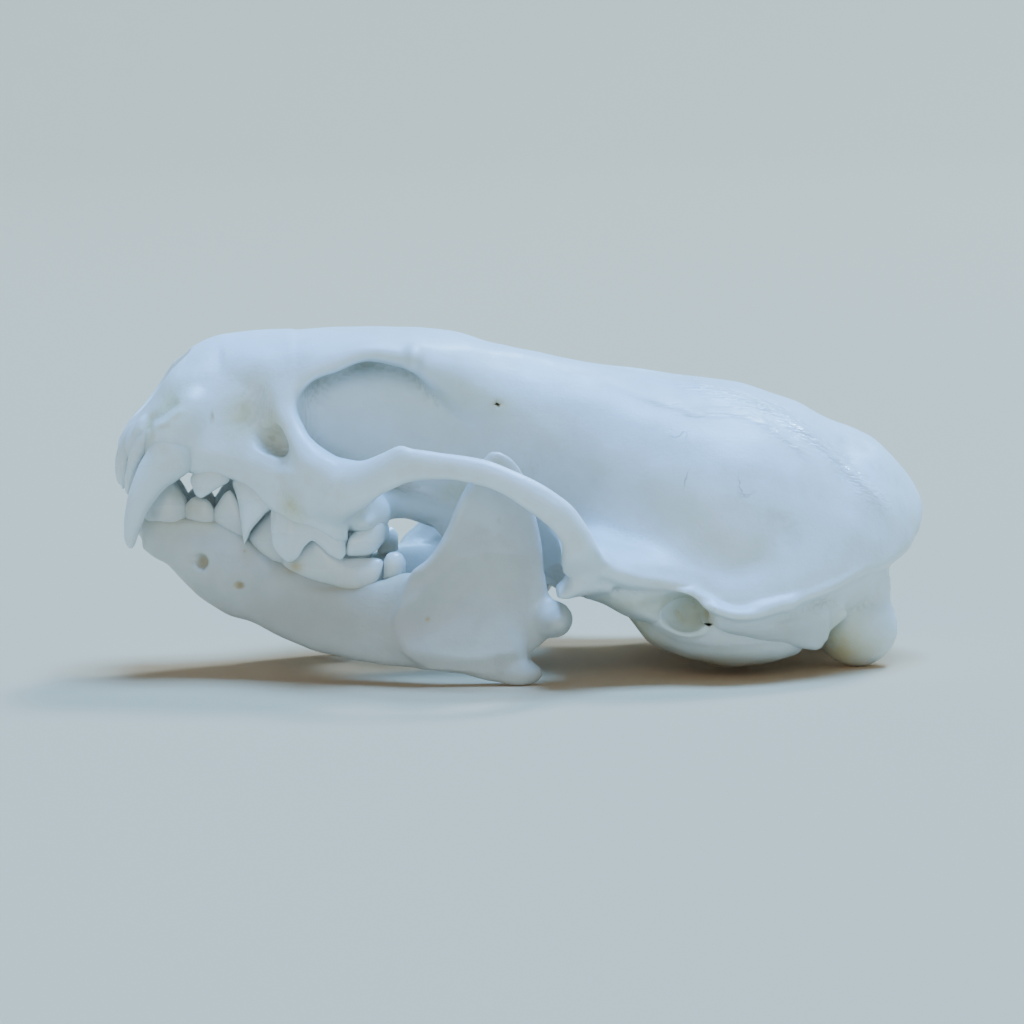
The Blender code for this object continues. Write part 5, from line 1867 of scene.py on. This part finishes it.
def lower_incisor(out: float) -> Tooth:
    """Lower incisor at a distance from the midline; all three are alike."""
    rows = (
        (-31.55, 12.3, -30.75, 12.2, 0.26),
        (-31.75, 13.0, -30.95, 12.9, 0.3),
        (-31.9, 13.7, -31.15, 13.6, 0.33),
        (-31.95, 14.3, -31.4, 14.25, 0.33),
        (-31.9, 14.65, -31.6, 14.65, 0.26),
        (-31.8, 14.78, -31.76, 14.78, 0.06),
    )
    return Tooth(tuple((*row[:4], out, row[4]) for row in rows), neck_level=13.2)


@dataclass(frozen=True)
class LowerTeeth(TeethOfJaw):
    """Teeth of the lower jaw."""

    incisor_1: Tooth = lower_incisor(0.47)
    incisor_2: Tooth = lower_incisor(1.15)
    incisor_3: Tooth = lower_incisor(1.8)
    canine: Tooth = Tooth(
        (
            (-30.9, 12.0, -27.3, 11.8, 3.3, 1.3),
            (-31.05, 13.0, -27.2, 13.1, 3.4, 1.55),
            (-31.05, 14.0, -27.35, 14.0, 3.4, 1.4),
            (-30.9, 14.9, -27.7, 14.9, 3.4, 1.15),
            (-30.7, 15.8, -28.3, 15.8, 3.4, 0.85),
            (-30.4, 16.55, -29.2, 16.55, 3.45, 0.5),
            (-30.1, 16.95, -29.9, 16.95, 3.45, 0.1),
        ),
        power=2.3,
        yaw=0.1,
        neck_level=13.4,
        grooves=(Patch((-28.3, 4.8, 15.3), (1.2, 2.0, 0.7), 0.3),),
    )
    premolar_2: Tooth = Tooth(
        (
            (-27.7, 12.2, -25.2, 11.8, 4.3, 0.95),
            (-27.85, 13.1, -25.15, 12.9, 4.4, 1.05),
            (-27.8, 13.9, -25.25, 13.7, 4.45, 0.95),
            (-27.5, 14.5, -25.5, 14.3, 4.5, 0.75),
            (-27.1, 14.85, -25.9, 14.7, 4.5, 0.5),
            (-26.7, 15.0, -26.3, 14.95, 4.5, 0.15),
        ),
        power=2.5,
        yaw=0.35,
        neck_level=13.2,
        grooves=(Patch((-27.0, 4.9, 14.2), (1.4, 1.2, 0.9), 0.35),),
    )
    premolar_3: Tooth = Tooth(
        (
            (-25.3, 11.6, -22.5, 10.9, 5.1, 1.0),
            (-25.5, 12.8, -22.4, 12.1, 5.2, 1.15),
            (-25.45, 13.7, -22.6, 13.1, 5.25, 1.05),
            (-25.0, 14.45, -23.05, 14.1, 5.35, 0.82),
            (-24.65, 15.0, -23.4, 14.8, 5.4, 0.58),
            (-24.35, 15.35, -23.7, 15.25, 5.45, 0.34),
            (-24.1, 15.5, -23.95, 15.5, 5.45, 0.08),
        ),
        power=2.4,
        yaw=0.35,
        neck_level=12.4,
    )
    premolar_4: Tooth = Tooth(
        (
            (-22.5, 9.6, -19.3, 8.9, 6.05, 1.0),
            (-22.7, 10.8, -19.1, 10.0, 6.15, 1.2),
            (-22.65, 11.7, -19.1, 11.0, 6.2, 1.18),
            (-22.1, 12.4, -19.3, 11.9, 6.25, 1.0),
            (-21.4, 13.1, -19.6, 12.7, 6.3, 0.74),
            (-20.85, 13.65, -20.0, 13.4, 6.3, 0.45),
            (-20.5, 13.9, -20.35, 13.85, 6.3, 0.12),
        ),
        power=2.4,
        yaw=0.38,
        neck_level=10.6,
        grooves=(Patch((-19.3, 7.6, 9.6), (0.5, 2.0, 0.35), 0.7),),
    )
    carnassial: Tooth = Tooth(
        (
            (-20.0, 9.0, -20.0, 10.4, 7.1, 0.3),
            (-19.5, 8.7, -19.7, 11.3, 7.25, 0.75),
            (-18.8, 8.5, -18.9, 11.7, 7.55, 1.0),
            (-18.1, 8.3, -18.1, 11.5, 7.85, 1.1),
            (-17.2, 8.0, -17.0, 12.2, 8.2, 1.2),
            (-16.0, 7.8, -15.9, 11.2, 8.55, 1.25),
            (-15.0, 7.4, -14.9, 10.3, 8.85, 1.25),
            (-14.2, 7.3, -14.1, 10.2, 9.1, 1.25),
            (-13.3, 7.5, -13.1, 10.2, 9.3, 1.2),
            (-12.5, 8.0, -12.3, 10.2, 9.5, 1.0),
            (-12.0, 8.7, -11.9, 10.1, 9.6, 0.7),
            (-11.75, 9.4, -11.7, 9.9, 9.65, 0.25),
        ),
        power=2.3,
        sharp=0.35,
        neck_level=8.6,
        grooves=(
            Patch((-18.8, 8.7, 9.5), (0.6, 2.0, 0.45), 0.85),
            Patch((-14.4, 10.0, 7.8), (3.0, 2.0, 0.25), 0.4),
        ),
    )
    molar: Tooth = Tooth(
        (
            (-11.7, 8.5, -11.65, 10.0, 9.5, 0.3),
            (-11.3, 8.4, -11.3, 10.55, 9.55, 0.72),
            (-10.7, 8.4, -10.7, 10.7, 9.6, 0.82),
            (-10.2, 8.5, -10.2, 10.5, 9.6, 0.65),
            (-9.9, 8.7, -9.9, 10.0, 9.6, 0.3),
        ),
        neck_level=9.0,
    )


@dataclass(frozen=True)
class Lamp:
    """Square soft light that faces the skull: place and size in metres, power in watts."""

    name: str
    place: tuple
    size: float
    power: float
    colour: tuple
    aim: tuple = (0.0, 0.0, 0.013)

    def build(self) -> None:
        """Place the light."""
        data = bpy.data.lights.new(self.name, "AREA")
        data.energy = self.power
        data.size = self.size
        data.color = self.colour
        made = bpy.data.objects.new(self.name, data)
        made.location = self.place
        made.rotation_euler = (Vector(self.aim) - Vector(self.place)).to_track_quat("-Z", "Y").to_euler()
        bpy.context.scene.collection.objects.link(made)


@dataclass(frozen=True)
class Table:
    """Pale table, flat under the skull and curving up all round it, in metres."""

    flat: tuple = (0.05, 0.4, 0.9)
    bend: float = 1.3
    width: float = 0.9
    height: float = 1.5
    steps: int = 24
    ring: int = 96
    colour: tuple = (0.66, 0.44, 0.27, 1.0)
    roughness: float = 0.85

    def build(self) -> None:
        """Turn a profile, flat and then a quarter of an oval, round the upright axis."""
        angle = np.linspace(0, math.pi / 2, self.steps)
        radius = np.concatenate((self.flat, self.bend + self.width * np.sin(angle)))
        height = np.concatenate((np.zeros(len(self.flat)), self.height * (1 - np.cos(angle))))
        turn = np.arange(self.ring) * 2 * math.pi / self.ring
        around = np.stack((np.cos(turn), np.sin(turn), np.ones(self.ring)), axis=1)
        profile = np.stack((radius, radius, height), axis=1)
        points = np.concatenate(((around * profile[:, None]).reshape(-1, 3), [(0.0, 0.0, 0.0)]))
        j, k = np.arange(self.ring), np.roll(np.arange(self.ring), -1)
        inner = np.arange(len(radius) - 1)[:, None] * self.ring
        outer = inner + self.ring
        quads = np.stack((inner + j, outer + j, outer + k, inner + k), axis=-1).reshape(-1, 4)
        middle = [(len(points) - 1, int(a), int(b)) for a, b in zip(j, k)]
        mesh = bpy.data.meshes.new("table")
        mesh.from_pydata(points.tolist(), [], quads.tolist() + middle)
        mesh.shade_smooth()
        made = bpy.data.objects.new("table", mesh)
        bpy.context.scene.collection.objects.link(made)
        paint = bpy.data.materials.new("table")
        paint.use_nodes = True
        shader = paint.node_tree.nodes["Principled BSDF"]
        shader.inputs["Base Color"].default_value = self.colour
        shader.inputs["Roughness"].default_value = self.roughness
        mesh.materials.append(paint)


@dataclass
class Studio:
    """Table, dim sky, soft lights, and the camera at the photograph's angle."""

    distance: float = 400.0
    turn: float = 3.0
    height: float = 6.0
    roll: float = 0.802
    scale: float = 0.083
    aim: tuple = (-0.704, 0.0, 12.725)
    pixels: int = 1024
    sensor: float = 36.0
    nearest: float = 0.01
    sky: tuple = (0.40, 0.50, 0.65, 1.0)
    sky_strength: float = 0.03
    lamps: tuple = (
        Lamp("window", (0.5, 0.0, 3.1), 1.5, 300.0, (0.17, 0.47, 1.0)),
        Lamp("rear_window", (0.8, 1.2, 1.8), 0.48, 48.0, (0.45, 0.72, 1.0)),
        Lamp("front_fill", (-0.48, -1.68, 0.6), 1.2, 6.9, (1.0, 0.96, 0.88)),
    )

    def camera(self) -> None:
        """Place the camera: turned a little to the nose, from slightly above, and rolled."""
        turn, height, roll = (math.radians(v) for v in (self.turn, self.height, self.roll))
        level = math.cos(height)
        ahead = Vector((math.sin(turn) * level, math.cos(turn) * level, -math.sin(height)))
        right = Vector((math.cos(turn), -math.sin(turn), 0.0))
        up = right.cross(ahead)
        rolled_right = right * math.cos(roll) - up * math.sin(roll)
        rolled_up = right * math.sin(roll) + up * math.cos(roll)
        data = bpy.data.cameras.new("camera")
        data.sensor_width = self.sensor
        data.lens = self.sensor * self.distance / (self.pixels * self.scale)
        data.clip_start = self.nearest
        made = bpy.data.objects.new("camera", data)
        bpy.context.scene.collection.objects.link(made)
        place = Matrix((rolled_right, rolled_up, -ahead)).transposed().to_4x4()
        place.translation = (Vector(self.aim) - ahead * self.distance) * MM
        made.matrix_world = place
        bpy.context.scene.camera = made

    def build(self) -> None:
        """Set the table, the sky, the lights and the camera."""
        Table().build()
        world = bpy.data.worlds.new("room")
        world.use_nodes = True
        world.node_tree.nodes["Background"].inputs["Color"].default_value = self.sky
        world.node_tree.nodes["Background"].inputs["Strength"].default_value = self.sky_strength
        bpy.context.scene.world = world
        for lamp in self.lamps:
            lamp.build()
        self.camera()


def main() -> None:
    """Build the skull, its teeth and the studio, and report every piece."""
    logging.basicConfig(level=logging.INFO, format="%(message)s")
    grain = Grain()
    bone = BoneFinish("skull_bone").material(grain)
    # The jaw's finish is a darker, greyer copy of the skull's bone colours: painted shade over the whole
    # lower jaw.
    jaw = BoneFinish(
        "jaw_bone", pale=(0.58, 0.59, 0.57, 1.0), second=(0.50, 0.495, 0.475, 1.0), cracked=False
    ).material(grain)
    enamel = EnamelFinish("tooth_enamel").material(grain)
    lower_enamel = EnamelFinish(
        "lower_tooth_enamel", tip=(0.68, 0.71, 0.71, 1.0), neck=(0.58, 0.59, 0.56, 1.0)
    ).material(grain)
    Cranium().build(bone)
    for side in Side:
        EarCapsule().build(side, bone)
        JawHalf().build(side, jaw)
    UpperTeeth().build("upper", Slot.BONE, enamel)
    LowerTeeth().build("lower", Slot.JAW, lower_enamel)
    Studio().build()


if __name__ == "__main__":
    main()
